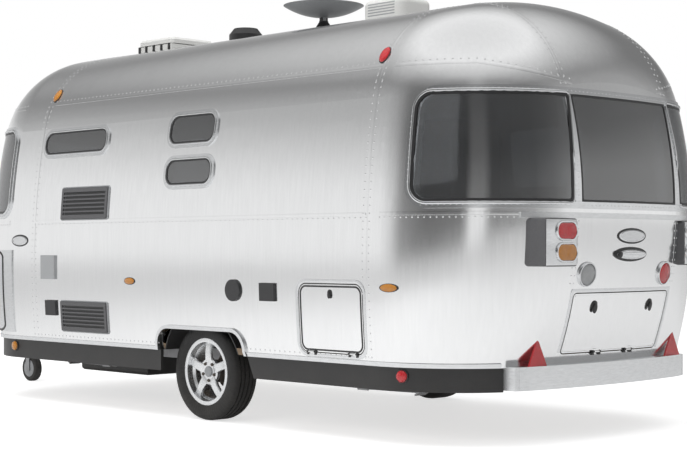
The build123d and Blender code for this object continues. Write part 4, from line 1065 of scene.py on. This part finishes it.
# Bumper joints, coupling grip and handbrake
bumper = tree_of(("rear_bumper",))
for side, side_name in SIDES:
    rays = [((-6, side * 0.772, 0.312 + step * 0.006), (1, 0, 0)) for step in range(21)]
    strip("bumper_joint_" + side_name, strikes(bumper, rays), 0.004, 0.0012, "bright_trim")
head_x = 3.1815
block((head_x - 0.165, -0.016, 0.494), (head_x - 0.050, 0.016, 0.512), 0.007, 3)
done("coupling_grip", "black_plastic")
brake_x = head_x - 0.36
post = block((brake_x - 0.030, -0.020, 0.420), (brake_x + 0.030, 0.020, 0.470), 0.006)
arm = block((brake_x - 0.012, -0.007, 0.455), (brake_x + 0.012, 0.007, 0.690), 0.004)
arm.data.transform(
    Matrix.Translation((brake_x, 0, 0.455)) @ Matrix.Rotation(math.radians(-24), 4, "Y")
    @ Matrix.Translation((-brake_x, 0, -0.455))
)
joined([post, arm])
done("handbrake_lever", "galvanised")
steps = ((0.013, 0), (0.016, 0.006), (0.015, 0.060), (0.017, 0.112), (0.008, 0.122))
turned((brake_x - 0.060, 0, 0.590), (-0.407, 0, 0.914), steps, 24, upright=(0, 1, 0))
done("handbrake_grip", "black_plastic")

# Jockey wheel: rubber on the crank, hub caps
jockey_x = AXLE + 3.33
jockey_y = 0.252
steps = ((0.013, 0), (0.016, 0.004), (0.014, 0.04), (0.016, 0.078), (0.008, 0.084))
turned((jockey_x + 0.120, jockey_y, 0.785), (0, 0, 1), steps, 24, upright=(1, 0, 0))
done("jockey_crank_grip", "black_plastic", "jockey_stem")
for side, side_name in SIDES:
    spot = (jockey_x - 0.045, jockey_y + side * 0.030, 0.105)
    steps = ((0.070, 0), (0.070, 0.0015), (0.062, 0.003), (0.030, 0.0035), (0.022, 0.0045))
    turned(spot, (0, side, 0), steps, 40)
    done("jockey_hub_" + side_name, "grey_paint", "jockey_wheel")

# Entrance door: handle plate with its lever
spot, out = strike(door_skins, ((AXLE + 0.60, -3, 1.08), (0, 1, 0)))
plate = turned(spot - out * 0.002, out, ((0.045, 0), (0.045, 0.006), (0.038, 0.010)), 36, (1, 1.6))
lever = block((spot.x - 0.012, spot.y - 0.016, 1.045), (spot.x + 0.012, spot.y - 0.006, 1.120), 0.004)
joined([plate, lever])
done("door_handle", "black_plastic", "entrance_door")

# Lounge and bed behind the glass


def cushion(name, low, high, crown, node, seams=0):
    """A stuffed pad: sides that swell, a crowned top, pulled in along its sewn channels."""
    bpy.ops.object.select_all(action="DESELECT")
    middle = [(a + b) / 2 for a, b in zip(low, high)]
    size = [b - a for a, b in zip(low, high)]
    bpy.ops.mesh.primitive_cube_add(size=1, location=middle)
    pad = bpy.context.object
    pad.scale = size
    bpy.ops.object.transform_apply(location=False, rotation=False, scale=True)
    bpy.ops.object.mode_set(mode="EDIT")
    bpy.ops.mesh.select_all(action="SELECT")
    bpy.ops.mesh.subdivide(number_cuts=11)
    bpy.ops.object.mode_set(mode="OBJECT")
    half = [length / 2 for length in size]
    thin = min(range(3), key=lambda axis: half[axis])
    wide = [axis for axis in range(3) if axis != thin]
    for point in pad.data.vertices:
        shares = [point.co[axis] / half[axis] for axis in range(3)]
        dome = 1.0
        for axis in wide:
            dome *= max(0.0, 1 - abs(shares[axis]) ** 2.6)
        point.co[thin] = point.co[thin] * (0.80 + 0.20 * dome**0.5)
        for axis in wide:
            other = wide[0] if axis == wide[1] else wide[1]
            swell = (1 - abs(shares[thin]) ** 2) * crown + (abs(shares[other]) ** 3) * crown * 0.4
            point.co[axis] -= math.copysign(crown * 1.5 - swell, point.co[axis]) * abs(shares[axis]) ** 3
        if seams:
            along = wide[0] if half[wide[0]] > half[wide[1]] else wide[1]
            wave = abs(math.sin(math.pi * seams * (shares[along] + 1) / 2))
            point.co[thin] *= 0.93 + 0.07 * wave**0.4
    smooth = pad.modifiers.new("soft", "SUBSURF")
    smooth.levels = 1
    smooth.render_levels = 1
    bpy.ops.object.modifier_apply(modifier=smooth.name)
    done(name, "upholstery", BODY, 80)
    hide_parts(node)
    return pad


def base(name, low, high, node):
    """A furniture base with an inset front, under its cushions."""
    block(low, high, 0.004)
    bpy.ops.object.mode_set(mode="EDIT")
    bpy.ops.mesh.select_all(action="DESELECT")
    bpy.ops.object.mode_set(mode="OBJECT")
    piece = bpy.context.object
    for face in piece.data.polygons:
        face.select = abs(face.normal.z) < 0.1 and face.area > 0.05
    bpy.ops.object.mode_set(mode="EDIT")
    bpy.ops.mesh.inset(thickness=0.03, depth=-0.006)
    bpy.ops.object.mode_set(mode="OBJECT")
    done(name, "furniture_wood")
    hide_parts(node)
    return piece


base("left_bench_base", (AXLE - 1.815, 0.565, 0.471), (AXLE - 0.705, 1.085, 0.765), "rear_lounge")
base("right_bench_base", (AXLE - 1.815, -1.085, 0.471), (AXLE - 0.705, -0.565, 0.765), "rear_lounge")
base("rear_bench_base", (AXLE - 2.115, -0.785, 0.471), (AXLE - 1.825, 0.785, 0.765), "rear_lounge")
for side, side_name in SIDES:
    low_y, high_y = sorted((side * 0.565, side * 1.085))
    for number, (x0, x1) in enumerate(((-1.815, -1.265), (-1.255, -0.705))):
        name = "bench_cushion_%s_%d" % (side_name, number + 1)
        cushion(name, (AXLE + x0, low_y, 0.768), (AXLE + x1, high_y, 0.898), 0.010, "rear_lounge")
for number, (y0, y1) in enumerate(((-0.785, -0.266), (-0.26, 0.26), (0.266, 0.785))):
    name = "rear_cushion_%d" % (number + 1)
    cushion(name, (AXLE - 2.115, y0, 0.768), (AXLE - 1.825, y1, 0.898), 0.008, "rear_lounge")
for number, (y0, y1) in enumerate(((-0.585, -0.005), (0.005, 0.585))):
    name = "back_cushion_%d" % (number + 1)
    cushion(name, (AXLE - 2.232, y0, 0.900), (AXLE - 2.108, y1, 1.248), 0.010, "rear_lounge", 4)
base("bed_base", (AXLE + 1.765, -0.845, 0.471), (AXLE + 2.535, 0.845, 0.740), "front_bed")
cushion("mattress", (AXLE + 1.765, -0.845, 0.742), (AXLE + 2.535, 0.845, 0.928), 0.012, "front_bed", 7)

# Floor, lamps, world and camera
bpy.ops.mesh.primitive_plane_add(size=160, location=(0, 0, 0))
floor = bpy.context.object
floor.name = "studio_floor"
paper = bpy.data.materials.new("studio paper")
paper.use_nodes = True
tree, shader = opened(paper)
put(tree, shader["Base Color"], (0.80, 0.80, 0.80, 1))
put(tree, shader["Roughness"], 0.7)
put(tree, shader["Emission Color"], (1, 1, 1, 1))
paths = add(tree, "LightPath").outputs
dimmed = maths(tree, "MULTIPLY", paths["Is Glossy Ray"], 0.26)
seen = maths(tree, "MAXIMUM", paths["Is Camera Ray"], dimmed)
put(tree, shader["Emission Strength"], maths(tree, "MULTIPLY", seen, 0.66))
floor.data.materials.append(paper)
bpy.ops.object.select_all(action="DESELECT")


def greys(tree, place, steps):
    """Greys along a ramp as (place, level)."""
    node = add(tree, "ValToRGB")
    elements = node.color_ramp.elements
    while len(elements) < len(steps):
        elements.new(0.5)
    for element, (at, level) in zip(elements, steps):
        element.position = at
        element.color = (level, level, level, 1)
    put(tree, node.inputs["Fac"], place)
    return node.outputs["Color"]


def studio_world():
    """White for the camera and through glass. For the rest, a room whose sides differ round about.

    Its greys by height go down above the horizon and up again overhead, where the sides even out.
    """
    world = bpy.data.worlds.new("studio")
    bpy.context.scene.world = world
    world.use_nodes = True
    tree = world.node_tree
    room = tree.nodes["Background"]
    white = add(tree, "Background")
    place = add(tree, "TexCoord").outputs["Generated"]
    split = add(tree, "SeparateXYZ")
    round_about = add(tree, "TexGradient", gradient_type="RADIAL")
    put(tree, split.inputs["Vector"], place)
    put(tree, round_about.inputs["Vector"], place)
    climb = ranged(tree, split.outputs["Z"], -1, 1)
    by_height = greys(tree, climb, (
        (0.0, 0.9), (0.50, 0.92), (0.58, 0.86), (0.65, 0.46), (0.76, 0.26), (0.86, 0.60), (0.93, 0.9),
        (1.0, 0.8),
    ))
    by_side = greys(tree, round_about.outputs["Fac"], (
        (0.0, 0.42), (0.04, 0.62), (0.08, 0.98), (0.18, 1.0), (0.24, 0.40), (0.30, 0.40), (0.38, 0.92),
        (0.64, 1.0), (0.67, 0.80), (0.70, 0.30), (0.76, 0.16), (0.845, 0.20), (0.858, 0.98), (0.884, 0.98),
        (0.90, 0.24), (0.98, 0.36),
    ))
    level = add(tree, "Mix", data_type="RGBA", blend_type="MULTIPLY")
    put(tree, level.inputs[0], ranged(tree, climb, 0.66, 0.86, 1, 0))
    put(tree, level.inputs[6], by_height)
    put(tree, level.inputs[7], by_side)
    put(tree, room.inputs["Color"], level.outputs[2])
    put(tree, white.inputs["Color"], (1, 1, 1, 1))
    paths = add(tree, "LightPath").outputs
    choice = add(tree, "MixShader")
    seen = maths(tree, "MAXIMUM", paths["Is Camera Ray"], paths["Is Transmission Ray"])
    put(tree, choice.inputs["Fac"], seen)
    put(tree, choice.inputs[1], room.outputs["Background"])
    put(tree, choice.inputs[2], white.outputs["Background"])
    put(tree, tree.nodes["World Output"].inputs["Surface"], choice.outputs["Shader"])


studio_world()


def area_lamp(name, place, aim, size, watts):
    data = bpy.data.lights.new(name, "AREA")
    data.shape = "RECTANGLE"
    data.size, data.size_y = size
    data.energy = watts
    lamp = bpy.data.objects.new(name, data)
    lamp.location = place
    lamp.rotation_euler = (Vector(aim) - Vector(place)).to_track_quat("-Z", "Y").to_euler()
    lamp.visible_glossy = False
    bpy.context.collection.objects.link(lamp)


area_lamp("overhead", (-1.0, 2.0, 7.0), (0, 0.3, 1.0), (9, 5), 270)
area_lamp("side_fill", (-3.0, 9.0, 4.5), (0, 0, 1.0), (7, 3), 200)

# The camera as solved from the photograph: it is FOCAL_PIXELS away from a picture FRAME_PIXELS wide
FOCAL_PIXELS = 1551.77
FRAME_PIXELS = 687
SENSOR = 36
yaw = math.radians(44.2197)
pitch_up = math.radians(0.7252)
camera_data = bpy.data.cameras.new("camera")
camera_data.lens = FOCAL_PIXELS * SENSOR / FRAME_PIXELS
camera_data.sensor_width = SENSOR
camera = bpy.data.objects.new("camera", camera_data)
camera.location = (-7.5847 + AXLE, 7.2797, 1.0705)
look = Vector((math.cos(yaw) * math.cos(pitch_up), -math.sin(yaw) * math.cos(pitch_up), math.sin(pitch_up)))
camera.rotation_euler = look.to_track_quat("-Z", "Y").to_euler()
bpy.context.collection.objects.link(camera)
bpy.context.scene.camera = camera
bpy.context.scene.view_settings.view_transform = "Standard"
